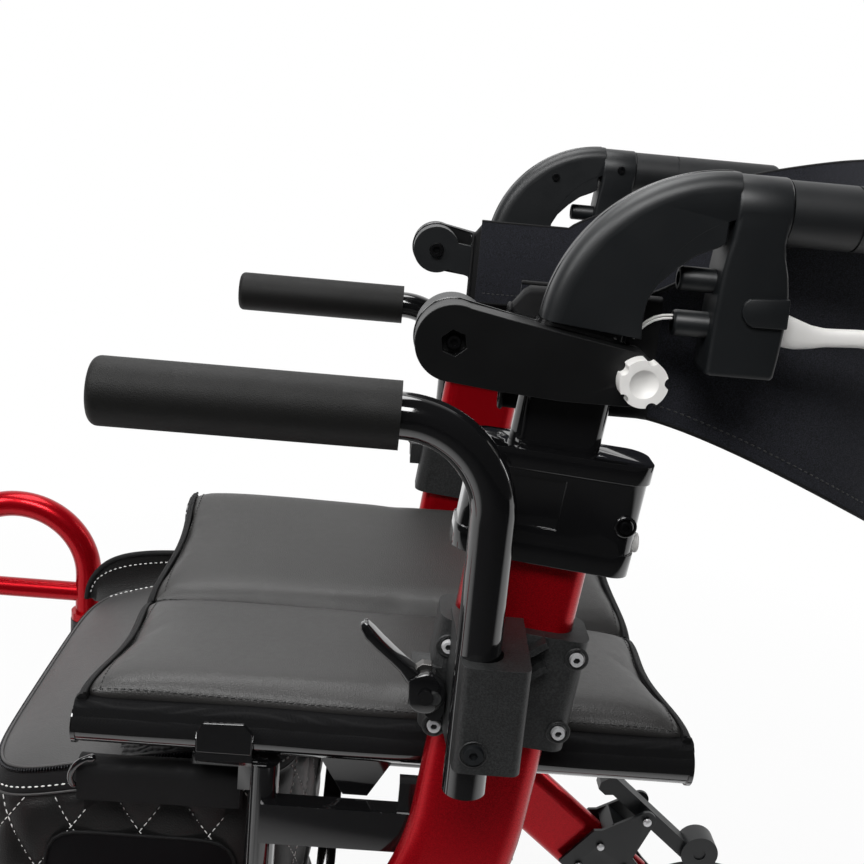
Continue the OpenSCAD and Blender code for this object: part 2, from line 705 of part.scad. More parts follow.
// cloth sleeve sewn to the bag's side, round the bar that carries it
module bag_sleeve() {
  difference() {
    union() {
      bar_x(80, bag_bar_x1 - 3, bag_bar_y, bag_bar_z, bag_bar_d + 6);
      box(80, bag_bar_x1 - 3, bag_half - 4, bag_half + 1.2, seat_z - 142, bag_bar_z);
    }
    bar_x(70, bag_bar_x1 + 10, bag_bar_y, bag_bar_z, bag_bar_d + 0.5);
  }
}
module bag() {
  points = concat([for (k = [0 : bag_m]) for (p = bag_ring(k)) p],
    [[bag_cx, 0, bag_low - 8], [bag_cx, 0, bag_top + 6 + bag_rise(bag_cx)]]);
  sides = [for (k = [0 : bag_m - 1], i = [0 : bag_n - 1], t = [0, 1])
    let (a = k * bag_n + i, b = k * bag_n + (i + 1) % bag_n)
    t == 0 ? [a, b + bag_n, b] : [a, a + bag_n, b + bag_n]];
  low = (bag_m + 1) * bag_n;
  caps = concat([for (i = [0 : bag_n - 1]) [i, (i + 1) % bag_n, low]],
    [for (i = [0 : bag_n - 1]) [bag_m * bag_n + (i + 1) % bag_n, bag_m * bag_n + i, low + 1]]);
  color(vinyl) {
    polyhedron(points = points, faces = concat(sides, caps), convexity = 4);
    for (s = [0, 1]) {
      mirror([0, s, 0]) bag_sleeve();
    }
  }
}

// Back band: a fabric U between the two arms, taller at its middle
band_n = 48;
band_y = post_y - 27.6;
band_z = back_z - 7.5;
function band_at(i) = let (t = i / band_n, e = 2 * abs(t - 0.5))
  e > 0.72 ? [-152 + 80 * (e - 0.72) / 0.28, sign(0.5 - t) * band_y, 0]
  : [-152 - band_sag * pow(cos(90 * e / 0.72), 0.62),
    sign(0.5 - t) * band_y * pow(sin(90 * e / 0.72), 0.62), 1];
function band_c(i) = let (e = 2 * abs(i / band_n - 0.5)) e > 0.72 ? 0 : cos(90 * e / 0.72);
function band_up(i) = band_z + band_end / 2 + band_rise * pow(band_c(i), 0.5);
function band_down(i) = band_z - band_end / 2 - band_drop * pow(band_c(i), 0.8);
function band_pt(i, out, up) = let (p = band_at(i),
    q = band_at(min(i + 1, band_n)), r = band_at(max(i - 1, 0)),
    d = [q[0] - r[0], q[1] - r[1]], l = sqrt(d[0] * d[0] + d[1] * d[1]))
  [p[0] - out * d[1] / l, p[1] + out * d[0] / l,
    (1 - up) / 2 * band_down(i) + (1 + up) / 2 * band_up(i)];
module back_band() {
  ring = [[0, 1], [3, 1], [4.5, 0], [3, -1], [0, -1]];
  points = [for (i = [0 : band_n]) for (r = ring) band_pt(i, r[0], r[1])];
  sides = [for (i = [0 : band_n - 1], j = [0 : 4], t = [0, 1])
    let (a = i * 5 + j, b = i * 5 + (j + 1) % 5)
    t == 0 ? [a, b, b + 5] : [a, b + 5, a + 5]];
  ends = [[4, 3, 2, 1, 0], [for (j = [0 : 4]) band_n * 5 + j]];
  color(cloth) polyhedron(points = points, faces = concat(sides, ends), convexity = 6);
}

// Puts a piece in the shared frame, on the left or mirrored to the right
module left() {
  translate([x_off, 0, 0]) children();
}
module right() {
  translate([x_off, 0, 0]) mirror([0, 1, 0]) children();
}

left() frame();  // left_frame
left() inner_frame();  // left_inner_frame
left() socket();  // left_socket
left() collar();  // left_collar
left() button();  // left_button
left() handle_post();  // left_handle_post
left() elbow();  // left_elbow
left() brake_housing();  // left_brake_housing
left() grip();  // left_grip
left() brake_lever();  // left_brake_lever
left() back_bracket();  // left_back_bracket
left() knob();  // left_knob
left() back_arm();  // left_back_arm
left() arm_tube();  // left_arm_tube
left() arm_foam();  // left_arm_foam
left() arm_bracket();  // left_arm_bracket
left() cam_lever();  // left_cam_lever
left() fork();  // left_fork
left() front_wheel();  // left_front_wheel
left() front_tyre();  // left_front_tyre
left() rear_fork();  // left_rear_fork
left() rear_wheel();  // left_rear_wheel
left() rear_tyre();  // left_rear_tyre
left() brake_arm();  // left_brake_arm
left() hanger();  // left_hanger
left() footplate();  // left_footplate
right() frame();  // right_frame
right() inner_frame();  // right_inner_frame
right() socket();  // right_socket
right() collar();  // right_collar
right() button();  // right_button
right() handle_post();  // right_handle_post
right() elbow();  // right_elbow
right() brake_housing();  // right_brake_housing
right() grip();  // right_grip
right() brake_lever();  // right_brake_lever
right() back_bracket();  // right_back_bracket
right() knob();  // right_knob
right() back_arm();  // right_back_arm
right() translate([0, 0, -arm_drop]) arm_tube();  // right_arm_tube
right() translate([0, 0, -arm_drop]) arm_foam();  // right_arm_foam
right() arm_bracket();  // right_arm_bracket
right() cam_lever();  // right_cam_lever
right() fork();  // right_fork
right() front_wheel();  // right_front_wheel
right() front_tyre();  // right_front_tyre
right() rear_fork();  // right_rear_fork
right() rear_wheel();  // right_rear_wheel
right() rear_tyre();  // right_rear_tyre
right() brake_arm();  // right_brake_arm
right() hanger();  // right_hanger
right() footplate();  // right_footplate
left() brace(11, true);  // brace_a
right() brace(-7, false);  // brace_b
left() seat_half();  // seat_left
right() seat_half();  // seat_right
left() bag();
left() back_band();
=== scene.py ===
"""Rollator transport chair: the finished looks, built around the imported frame."""
import json
import math

import bmesh
import bpy
import numpy as np
from bpy.props import FloatProperty, FloatVectorProperty, IntProperty, PointerProperty
from mathutils import Matrix, Vector
from mathutils.bvhtree import BVHTree

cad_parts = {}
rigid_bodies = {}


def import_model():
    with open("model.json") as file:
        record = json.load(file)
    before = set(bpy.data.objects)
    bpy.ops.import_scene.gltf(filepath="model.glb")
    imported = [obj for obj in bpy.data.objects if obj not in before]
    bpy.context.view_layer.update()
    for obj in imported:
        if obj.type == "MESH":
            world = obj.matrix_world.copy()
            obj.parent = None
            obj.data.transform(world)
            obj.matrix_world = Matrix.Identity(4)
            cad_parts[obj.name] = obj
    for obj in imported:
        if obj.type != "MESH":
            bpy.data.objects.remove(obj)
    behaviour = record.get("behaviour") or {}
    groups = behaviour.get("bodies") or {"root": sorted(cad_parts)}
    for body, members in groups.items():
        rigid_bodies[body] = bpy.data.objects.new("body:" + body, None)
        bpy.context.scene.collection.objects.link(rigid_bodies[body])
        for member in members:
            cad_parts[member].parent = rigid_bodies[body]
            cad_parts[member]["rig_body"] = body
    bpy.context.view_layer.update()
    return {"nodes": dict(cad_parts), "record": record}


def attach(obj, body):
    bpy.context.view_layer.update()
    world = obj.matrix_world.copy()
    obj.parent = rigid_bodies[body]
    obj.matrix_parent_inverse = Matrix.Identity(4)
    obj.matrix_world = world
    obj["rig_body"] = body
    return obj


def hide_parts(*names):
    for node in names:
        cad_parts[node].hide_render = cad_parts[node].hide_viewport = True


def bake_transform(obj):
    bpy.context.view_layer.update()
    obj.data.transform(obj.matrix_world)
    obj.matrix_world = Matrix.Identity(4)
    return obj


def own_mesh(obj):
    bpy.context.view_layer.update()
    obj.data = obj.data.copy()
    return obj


bl_info = {
    "name": "Rollator transport chair",
    "version": (1, 0, 0),
    "blender": (4, 5, 0),
    "location": "3D View > Sidebar > Rollator",
    "description": "Dresses the folding rollator's frame with its finishes, upholstery, bag and fasteners",
    "category": "Object",
}

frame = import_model()
NODES = frame["nodes"]
SIDES = ("left", "right")
SHIFT = Vector((-0.015, 0.0, 0.0))


def sign_of(side):
    return 1.0 if side == "left" else -1.0


# Sizes shared with the frame, in metres, before the frame's own shift along X
RAIL_Y = 0.196
RAIL_Z = 0.568
POST_Y = 0.228
POST_LEAN = math.radians(6.0)
GRIP_Z = 0.928
BACK_PIVOT = (-0.0335, 0.844)


# Settings that a user would change
class FinishSettings(bpy.types.PropertyGroup):
    frame_red: FloatVectorProperty(
        name="Frame red", description="Candy red of the frame tubes",
        subtype="COLOR", size=3, min=0, max=1, default=(0.42, 0.0016, 0.0075))
    seat_vinyl: FloatVectorProperty(
        name="Seat vinyl", description="Dark vinyl of the seat pads",
        subtype="COLOR", size=3, min=0, max=1, default=(0.0235, 0.0225, 0.0218))
    bag_vinyl: FloatVectorProperty(
        name="Bag vinyl", description="Grey vinyl of the bag's lid",
        subtype="COLOR", size=3, min=0, max=1, default=(0.052, 0.051, 0.051))
    band_cloth: FloatVectorProperty(
        name="Band cloth", description="Blue-black cloth of the back band",
        subtype="COLOR", size=3, min=0, max=1, default=(0.0085, 0.0092, 0.0135))
    ivory: FloatVectorProperty(
        name="Ivory plastic", description="Warm white of knobs, levers and buttons",
        subtype="COLOR", size=3, min=0, max=1, default=(0.86, 0.845, 0.82))


class SeatSettings(bpy.types.PropertyGroup):
    pad_swell: FloatProperty(
        name="Pad swell", description="Furthest that the simulated pad may swell",
        subtype="DISTANCE", default=0.003, min=0.0, max=0.02)
    pad_pressure: FloatProperty(
        name="Pad pressure", description="Air pressure of the pad simulation", default=4.0, min=0.0, max=20.0)
    stitch_pitch: FloatProperty(
        name="Stitch pitch", description="Distance from one stitch of the seat to the next",
        subtype="DISTANCE", default=0.0046, min=0.001, max=0.02)


class BagSettings(bpy.types.PropertyGroup):
    quilt_width: FloatProperty(
        name="Quilt width", description="Width of one diamond of the quilting",
        subtype="DISTANCE", default=0.0466, min=0.02, max=0.2)
    puff: FloatProperty(
        name="Puff", description="How far a diamond stands out between its seams",
        subtype="DISTANCE", default=0.0035, min=0.0, max=0.02)


class HardwareSettings(bpy.types.PropertyGroup):
    screw_sides: IntProperty(
        name="Screw sides", description="Facets round a screw head", default=28, min=8, max=64)


class StageSettings(bpy.types.PropertyGroup):
    key_power: FloatProperty(name="Key light", description="Power of the overhead softbox",
                             subtype="POWER", default=46.0, min=0.0)
    room_light: FloatProperty(name="Room light", description="Strength of the dim light all round",
                              default=0.12, min=0.0, max=1.0)
    floor_tone: FloatProperty(name="Floor tone", description="Brightness of the pale floor",
                              default=0.86, min=0.0, max=1.0)


SETTINGS = (("rollator_finish", FinishSettings), ("rollator_seat", SeatSettings),
            ("rollator_bag", BagSettings), ("rollator_hardware", HardwareSettings),
            ("rollator_stage", StageSettings))


def setting(group, name):
    return getattr(getattr(bpy.context.scene, "rollator_" + group), name)


class Socket:
    """A shader output that takes part in plain arithmetic."""

    def __init__(self, finish, out):
        self.finish, self.out = finish, out

    def maths(self, operation, *values):
        return self.finish.node("ShaderNodeMath", {"operation": operation}, dict(enumerate(values)))

    def __add__(self, other):
        return self.maths("ADD", self, other)

    __radd__ = __add__

    def __sub__(self, other):
        return self.maths("SUBTRACT", self, other)

    def __rsub__(self, other):
        return self.maths("SUBTRACT", other, self)

    def __mul__(self, other):
        return self.maths("MULTIPLY", self, other)

    __rmul__ = __mul__

    def __truediv__(self, other):
        return self.maths("DIVIDE", self, other)

    def __pow__(self, other):
        return self.maths("POWER", self, other)

    def sin(self):
        return self.maths("SINE", self)

    def clip(self):
        return self.finish.node("ShaderNodeClamp", {}, {0: self, 1: 0.0, 2: 1.0})


class Finish:
    """A material under construction: one Principled shader and the nodes that feed it."""

    def __init__(self, name, base, rough, metal=0.0, coat=0.0, coat_rough=0.05, sheen=0.0, specular=0.5):
        self.mat = bpy.data.materials.new(name)
        self.mat.use_nodes = True
        self.tree = self.mat.node_tree
        self.shader = self.tree.nodes["Principled BSDF"]
        for key, value in (("Base Color", (*base, 1.0)), ("Roughness", rough), ("Metallic", metal),
                           ("Coat Weight", coat), ("Coat Roughness", coat_rough),
                           ("Sheen Weight", sheen), ("Specular IOR Level", specular)):
            self.shader.inputs[key].default_value = value
        self.base, self.rough = base, rough
        self.mat.diffuse_color = (*base, 1.0)

    def node(self, kind, settings, sockets, out=0):
        made = self.tree.nodes.new(kind)
        for key, value in settings.items():
            setattr(made, key, value)
        for key, value in sockets.items():
            if isinstance(value, Socket):
                self.tree.links.new(value.out, made.inputs[key])
            else:
                made.inputs[key].default_value = value
        return Socket(self, made.outputs[out])

    def place(self, scale=(1, 1, 1)):
        where = self.node("ShaderNodeTexCoord", {}, {}, "Object")
        return self.node("ShaderNodeMapping", {}, {"Vector": where, "Scale": scale})

    def noise(self, scale, detail=2.0, where=None):
        return self.node("ShaderNodeTexNoise", {}, {"Vector": where or self.place(), "Scale": scale, "Detail": detail})

    def cells(self, scale, feature="F1"):
        return self.node("ShaderNodeTexVoronoi", {"feature": feature}, {"Vector": self.place(), "Scale": scale})

    def axes(self, where=None):
        made = self.node("ShaderNodeSeparateXYZ", {}, {0: where or self.place()})
        sockets = made.out.node.outputs
        return [Socket(self, sockets[i]) for i in range(3)]

    def mix(self, share, a, b):
        made = self.tree.nodes.new("ShaderNodeMix")
        made.data_type = "RGBA"
        for key, value in ((0, share), (6, a), (7, b)):
            if isinstance(value, Socket):
                self.tree.links.new(value.out, made.inputs[key])
            else:
                made.inputs[key].default_value = value if key == 0 else (*value, 1.0)[:4]
        return Socket(self, made.outputs[2])

    def set(self, name, value):
        self.tree.links.new(value.out, self.shader.inputs[name])
        return self

    def tint(self, share, low, high):
        """Base Color runs from low to high times the finish's own colour."""
        return self.set("Base Color", self.mix(share, tuple(c * low for c in self.base),
                                               tuple(min(1.0, c * high) for c in self.base)))

    def bump(self, height, strength, depth):
        made = self.node("ShaderNodeBump", {}, {"Height": height, "Strength": strength, "Distance": depth})
        return self.set("Normal", made)


# Moulded and painted finishes: colour or its setting, roughness, other shader values,
# cloud (scale, detail, low, high), gloss (least, span, scale, detail), grain (scale, detail, strength, depth)
MOULDINGS = {
    "gloss": ("gloss_black_enamel", (0.0042, 0.0042, 0.0046), 0.16, {"coat": 0.8},
              (14, 2, 0.8, 1.4), (0.08, 0.06, 26, 4), (140, 2, 0.05, 0.0004)),
    "satin": ("satin_black_moulding", (0.0062, 0.0072, 0.0082), 0.4, {},
              (18, 2, 0.75, 1.35), (0.36, 0.14, 40, 3), (2400, 2, 0.22, 0.00012)),
    "cast": ("cast_black", (0.0028, 0.0029, 0.0031), 0.42, {"specular": 0.34},
             (20, 2, 0.7, 1.5), (0.36, 0.14, 36, 3), (2000, 2, 0.2, 0.00012)),
    "ivory": ("ivory_plastic", "ivory", 0.38, {"specular": 0.45},
              (26, 3, 0.93, 1.03), (0.32, 0.12, 70, 2), (900, 2, 0.06, 0.0002)),
    "grip": ("grip_rubber", (0.0062, 0.0070, 0.0080), 0.45, {},
             (40, 3, 0.8, 1.25), (0.46, 0.12, 90, 3), (2600, 2, 0.25, 0.00015)),
    "tyre": ("tyre_rubber", (0.022, 0.022, 0.023), 0.72, {},
             (60, 5, 0.7, 1.6), (0.64, 0.2, 30, 4), (900, 4, 0.3, 0.0003)),
}
# finishes whose grain also shows in their colour
SPECKLED = ("satin", "cast")
# Vinyls: colour or its setting, roughness, specular, then scale and strength of the grain
VINYLS = {
    "vinyl": ("seat_vinyl", "seat_vinyl", 0.42, 0.5, 620, 0.34),
    "lid": ("bag_vinyl", "bag_vinyl", 0.44, 0.5, 560, 0.34),
    "quilt": ("quilted_vinyl", (0.0072, 0.0070, 0.0070), 0.44, 0.35, 560, 0.4),
}
# Cloths: colour or its setting, roughness, other shader values, then pitch, strength and depth of the weave
CLOTHS = {
    "strip": ("woven_strip", (0.0024, 0.0024, 0.0028), 0.62, {"specular": 0.14}, 3600, 0.5, 0.0003),
    "band": ("band_cloth", "band_cloth", 0.8, {"sheen": 0.05, "specular": 0.3}, 5200, 0.4, 0.0002),
    "trim": ("binding_tape", (0.0034, 0.0034, 0.0038), 0.62, {"specular": 0.25}, 4600, 0.4, 0.0002),
    "pouch": ("pouch_cloth", (0.0014, 0.0014, 0.0020), 0.5, {"specular": 0.16}, 5200, 0.3, 0.0002),
}
THREADS = {"white_thread": 0.80, "dark_thread": 0.018, "band_thread": 0.02}
# Metals: colour, roughness, metallic
METALS = {"steel": ((0.80, 0.80, 0.81), 0.34, 0.45), "zinc": ((0.16, 0.155, 0.15), 0.4, 1.0),
          "black_screw": ((0.03, 0.03, 0.032), 0.34, 1.0)}


def colour_of(base):
    return tuple(setting("finish", base)) if isinstance(base, str) else base


def moulded(name, base, rough, values, cloud, gloss, grain, speckled):
    made = Finish(name, colour_of(base), rough, **values)
    texture, tone = made.noise(*grain[:2]), made.noise(*cloud[:2])
    made.tint((texture * 0.5 + tone * 0.5).clip() if speckled else tone, *cloud[2:])
    made.set("Roughness", gloss[0] + gloss[1] * made.noise(*gloss[2:]))
    return made.bump(texture, *grain[2:])


def candy_red():
    """Clear-coated paint with fine flakes."""
    red = Finish("candy_red", colour_of("frame_red"), 0.28, metal=0.6, coat=0.14, specular=0.2)
    flake = red.noise(2600.0, 1.0)
    red.tint((flake * 0.6 + red.noise(9.0) * 0.4).clip(), 0.62, 1.3)
    red.set("Roughness", 0.2 + 0.14 * flake)
    return red.bump(red.noise(90.0, 1.0), 0.05, 0.0004)


def grained_nylon():
    """Pebbled glass-filled nylon."""
    nylon = Finish("grained_nylon", (0.0125, 0.0130, 0.0132), 0.46)
    speck = (nylon.noise(900.0) - 0.4) * 3.0
    nylon.tint((speck + nylon.noise(30.0) * 0.3).clip(), 0.55, 1.9)
    nylon.set("Roughness", 0.44 + 0.14 * nylon.noise(60.0, 3.0))
    return nylon.bump(nylon.cells(1300.0, "SMOOTH_F1"), 0.5, 0.0003)


def foam_sleeve():
    """Open-pored foam of the armrests."""
    foam = Finish("foam_sleeve", (0.0046, 0.0045, 0.0042), 0.5, specular=0.26)
    pore = foam.cells(1700.0)
    foam.tint((pore * 1.2).clip(), 0.75, 1.3)
    foam.set("Roughness", 0.5 + 0.14 * foam.noise(50.0, 3.0))
    return foam.bump(pore + foam.noise(420.0, 3.0) * 0.6, 0.35, 0.0003)


def ribbed_net():
    """Wavy ribs with holes between them, on the rear of the bag's lid."""
    net = Finish("ribbed_net", (0.011, 0.011, 0.012), 0.66, sheen=0.1)
    x, y, z = net.axes()
    ribs = ((y + z * 0.6 + (x * 310.0).sin() * 0.0009) * 1900.0).sin()
    holes = (x * 1500.0 + z * 500.0).sin()
    net.tint((ribs * 0.5 + holes * 0.2 + 0.5).clip(), 0.35, 2.0)
    net.set("Roughness", 0.58 + 0.16 * net.noise(300.0, 3.0))
    return net.bump(ribs + holes * 0.4, 0.9, 0.0009)


def make_finishes():
    """Every finish of the chair, by its own name."""
    f = {"red": candy_red(), "nylon": grained_nylon(), "foam": foam_sleeve(), "net": ribbed_net()}
    for key, row in MOULDINGS.items():
        f[key] = moulded(*row, key in SPECKLED)
    for key, (name, base, rough, specular, scale, strength) in VINYLS.items():
        f[key] = leather_grain(Finish(name, colour_of(base), rough, specular=specular), scale, strength)
    for key, (name, base, rough, values, *threads) in CLOTHS.items():
        f[key] = weave(Finish(name, colour_of(base), rough, **values), *threads)
    f["band"].tint(((f["band"].noise(1500.0) - 0.40) * 4.0).clip(), 0.4, 2.3)
    for name, tone in THREADS.items():
        f[name] = Finish(name, (tone, tone, tone * 0.98), 0.62, sheen=0.2)
        ply = f[name].noise(1800.0)
        f[name].tint(ply, 0.8, 1.15).bump(ply, 0.3, 0.0002)
    for name, (tone, rough, metallic) in METALS.items():
        metal = f[name] = Finish(name, tone, rough, metal=metallic)
        brushed = metal.noise(700.0, 3.0, where=metal.place((1, 1, 6)))
        metal.set("Roughness", rough - 0.06 + 0.16 * brushed)
        metal.tint(metal.noise(120.0), 0.8, 1.15)
    return f


def leather_grain(finish, scale, strength):
    """Fine creased grain with a soft change of tone and gloss."""
    wander = finish.noise(scale * 0.35, 2.0)
    skin = (finish.cells(scale, "DISTANCE_TO_EDGE") * 3.0).clip()
    finish.tint((finish.noise(16.0, 3.0) * 0.7 + skin * 0.3).clip(), 0.78, 1.25)
    finish.set("Roughness", finish.rough - 0.06 + 0.1 * wander + 0.06 * finish.noise(22.0, 3.0))
    return finish.bump(skin + wander * 0.7, strength, 0.00025)


def weave(finish, pitch, strength, depth):
    """Over-and-under threads on three axes, so that it reads on any side of the piece."""
    x, y, z = finish.axes()
    over = (x * (pitch * 2)).sin() * ((y + z) * (pitch * 2)).sin()
    slub = finish.noise(260.0, 3.0)
    finish.tint((over * 0.35 + slub * 0.5 + 0.25).clip(), 0.6, 1.6)
    finish.set("Roughness", finish.rough - 0.08 + 0.16 * slub)
    return finish.bump(over + slub * 0.6, strength, depth)


FINISHES = {}


def join(name, mesh):
    made = bpy.data.objects.new(name, mesh)
    bpy.context.scene.collection.objects.link(made)
    return made


def wear(made, finish):
    made.data.materials.clear()
    made.data.materials.append(FINISHES[finish].mat)
    return made


def smooth(made, degrees=32.0):
    made.data.shade_smooth()
    made.data.set_sharp_from_angle(angle=math.radians(degrees))
    return made


def piece(name, verts, faces, finish, degrees=32.0):
    """A mesh piece from points in metres, with its normals outwards."""
    mesh = bpy.data.meshes.new(name)
    mesh.from_pydata([tuple(v) for v in verts], [], [tuple(f) for f in faces])
    bm = bmesh.new()
    bm.from_mesh(mesh)
    bmesh.ops.remove_doubles(bm, verts=bm.verts, dist=1e-6)
    bmesh.ops.recalc_face_normals(bm, faces=bm.faces)
    bm.to_mesh(mesh)
    bm.free()
    return smooth(wear(join(name, mesh), finish), degrees)


def plain(made):
    """Turns what the modifiers make into the piece's own mesh."""
    made.data.update()
    graph = bpy.context.evaluated_depsgraph_get()
    mesh = bpy.data.meshes.new_from_object(made.evaluated_get(graph))
    made.modifiers.clear()
    old, made.data = made.data, mesh
    bpy.data.meshes.remove(old)
    return made


def skinned(made, thickness):
    """Gives a sheet its thickness, half of it to each side."""
    skin = made.modifiers.new("skin", "SOLIDIFY")
    skin.thickness, skin.offset = thickness, 0.0
    return smooth(plain(made), 60.0)


def clipped(value):
    return min(1.0, max(0.0, value))


def angles(steps, ends=0):
    """Angles round a whole turn, with its start once more at the end if ends is 1."""
    return [2 * math.pi * k / steps for k in range(steps + ends)]


def between(table, t):
    """The row of a table at a place between its own rows."""
    return [np.interp(t, range(len(table)), column) for column in zip(*table)]


def round_rect(x0, x1, y0, y1, r, steps):
    """A rectangle whose corners are rounded in a number of steps."""
    loop = []
    for k, (cx, cy) in enumerate(((x1 - r, y1 - r), (x0 + r, y1 - r), (x0 + r, y0 + r), (x1 - r, y0 + r))):
        corner = (math.radians(90 * k + 90 * j / steps) for j in range(steps + 1))
        loop += [(cx + r * math.cos(a), cy + r * math.sin(a)) for a in corner]
    return loop


def grid(rows, closed_cols=False):
    """Points and quads of a grid of point rows."""
    n, m = len(rows), len(rows[0])
    verts = [p for row in rows for p in row]
    faces = []
    for i in range(n - 1):
        for j in range(m if closed_cols else m - 1):
            a, b = i * m, (i + 1) * m
            faces.append((a + j, a + (j + 1) % m, b + (j + 1) % m, b + j))
    return verts, faces


def squared(value, power):
    """A sine or cosine drawn towards 1, for sections with flatter sides."""
    return math.copysign(abs(value) ** power, value)


def skin_over(rings):
    """A closed skin over rings of points, with a flat face at each end."""
    verts, faces = grid(rings, closed_cols=True)
    n, last = len(rings[0]), (len(rings) - 1) * len(rings[0])
    return verts, faces + [tuple(range(n)), tuple(range(last + n - 1, last - 1, -1))]


def sweep(path, radius, sides=10, caps=True, flat=1.0, up=(0, 0, 1)):
    """A tube along a path of points: radius is a number or one per point, flat squeezes its height."""
    path = [Vector(p) for p in path]
    rows = []
    for i, p in enumerate(path):
        ahead = (path[min(i + 1, len(path) - 1)] - path[max(i - 1, 0)]).normalized()
        side = ahead.cross(Vector(up)).normalized()
        rise = side.cross(ahead)
        r = radius[i] if hasattr(radius, "__len__") else radius
        rows.append([p + side * (r * math.cos(a)) + rise * (r * flat * math.sin(a))
                     for a in angles(sides)])
    verts, faces = grid(rows, closed_cols=True)
    if caps:
        last = (len(rows) - 1) * sides
        faces += [tuple(range(sides - 1, -1, -1)), tuple(range(last, last + sides))]
    return verts, faces


def merged(parts):
    """Several (points, faces) pairs as one."""
    verts, faces = [], []
    for v, f in parts:
        base = len(verts)
        verts += list(v)
        faces += [tuple(i + base for i in q) for q in f]
    return verts, faces


def united(name, pieces):
    """Several pieces as one object, each with its own faces."""
    bm = bmesh.new()
    for made in pieces:
        bm.from_mesh(made.data)
    mesh = bpy.data.meshes.new(name)
    bm.to_mesh(mesh)
    bm.free()
    for made in pieces:
        bpy.data.objects.remove(made)
    if "custom_normal" in mesh.attributes:
        mesh.attributes.remove(mesh.attributes["custom_normal"])
    return smooth(join(name, mesh), 40.0)


def mirrored(part):
    verts, faces = part
    return [Vector((v[0], -v[1], v[2])) for v in verts], [tuple(reversed(f)) for f in faces]


def handed(part, side):
    """A part that is drawn for the left side, on the side that is asked for."""
    return part if side == "left" else mirrored(part)


def shifted(part):
    verts, faces = part
    return [Vector(v) + SHIFT for v in verts], faces


def body_of(node):
    return NODES[node]["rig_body"]


def slot_of(node):
    return next(s["material_slot"] for s in frame["record"]["subparts"] if s["node"] == node)


def mount(made, body, slot):
    """Sets a piece on the body that it moves with; the slot argument is not used."""
    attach(made, body)
    return made


def carve(made, cutters):
    """Cuts closed shapes, given as (points, faces), out of a piece."""
    for part in cutters:
        tool = piece("cutter", *part, "satin")
        cut = made.modifiers.new("cut", "BOOLEAN")
        cut.operation, cut.object, cut.solver = "DIFFERENCE", tool, "EXACT"
        plain(made)
        bpy.data.objects.remove(tool)
    return made


def rounded(made, width, crisp=True):
    """Rounds the sharp edges of a piece; a crisp one keeps its flat faces flat."""
    smooth(made, 34.0)
    bevel = made.modifiers.new("edges", "BEVEL")
    bevel.width, bevel.segments = width, 2
    bevel.limit_method, bevel.angle_limit = "ANGLE", math.radians(30)
    bevel.harden_normals = crisp
    return plain(made) if crisp else smooth(plain(made), 34.0)


def prism(outline, y0, y1):
    """A closed outline of (x, z) points made solid from y0 to y1."""
    n = len(outline)
    verts = [Vector((x, y, z)) for y in (y0, y1) for x, z in outline]
    faces = [(i, (i + 1) % n, n + (i + 1) % n, n + i) for i in range(n)]
    return verts, faces + [tuple(range(n - 1, -1, -1)), tuple(range(n, 2 * n))]


def softened(node, finish, width, cutters=(), fit=None, crisp=True):
    """A moulded copy of a node with its edges rounded, which stands for it."""
    bm = bmesh.new()
    bm.from_mesh(NODES[node].data)
    bmesh.ops.remove_doubles(bm, verts=bm.verts, dist=2e-6)
    bmesh.ops.dissolve_limit(bm, angle_limit=math.radians(0.6), verts=bm.verts, edges=bm.edges)
    mesh = bpy.data.meshes.new(node + "_moulded")
    bm.to_mesh(mesh)
    bm.free()
    if fit:
        for v in mesh.vertices:
            v.co = fit(v.co)
    made = carve(wear(join(node + "_moulded", mesh), finish), cutters)
    wear(rounded(made, width, crisp) if width else smooth(made, 34.0), finish)
    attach(made, body_of(node))
    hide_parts(node)
    return (made, slot_of(node))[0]


class Tree:
    """A Geometry Nodes tree with named inputs."""

    def __init__(self, name, inputs):
        self.tree = bpy.data.node_groups.new(name, "GeometryNodeTree")
        face = self.tree.interface
        face.new_socket("Geometry", in_out="INPUT", socket_type="NodeSocketGeometry")
        face.new_socket("Geometry", in_out="OUTPUT", socket_type="NodeSocketGeometry")
        self.ids = {}
        for key, kind, value in inputs:
            made = face.new_socket(key, in_out="INPUT", socket_type="NodeSocket" + kind)
            if value is not None:
                made.default_value = value
            self.ids[key] = made.identifier
        self.entry = self.tree.nodes.new("NodeGroupInput")
        self.exit = self.tree.nodes.new("NodeGroupOutput")

    def get(self, key):
        return self.entry.outputs[key]

    def node(self, kind, settings, sockets, out=0):
        made = self.tree.nodes.new(kind)
        for key, value in settings.items():
            setattr(made, key, value)
        for key, value in sockets.items():
            if isinstance(value, bpy.types.NodeSocket):
                self.tree.links.new(value, made.inputs[key])
            else:
                made.inputs[key].default_value = value
        return made.outputs[out]

    def attribute(self, name, kind):
        return self.node("GeometryNodeInputNamedAttribute", {"data_type": kind}, {"Name": name})

    def scatter(self, points, shape, axis, size):
        """Sets a shape on each point, turned to an axis and scaled, as the tree's result."""
        turn = self.node("FunctionNodeAlignRotationToVector", {"axis": "Z"}, {"Vector": axis})
        put = self.node("GeometryNodeInstanceOnPoints", {}, {"Points": points, "Instance": shape, "Rotation": turn,
                                                             "Scale": size})
        real = self.node("GeometryNodeRealizeInstances", {}, {0: put})
        done = self.node("GeometryNodeSetMaterial", {}, {0: real, "Material": self.get("Finish")})
        self.tree.links.new(done, self.exit.inputs[0])
        return self

    def heads(self, shape):
        return self.scatter(self.get("Geometry"), shape, self.attribute("axis", "FLOAT_VECTOR"),
                            self.attribute("size", "FLOAT"))

    def grow(self, made, finish, values):
        mod = made.modifiers.new("grow", "NODES")
        mod.node_group = self.tree
        for key, value in values.items():
            mod[self.ids[key]] = value
        mod[self.ids["Finish"]] = FINISHES[finish].mat
        return plain(made)


TREES = {}


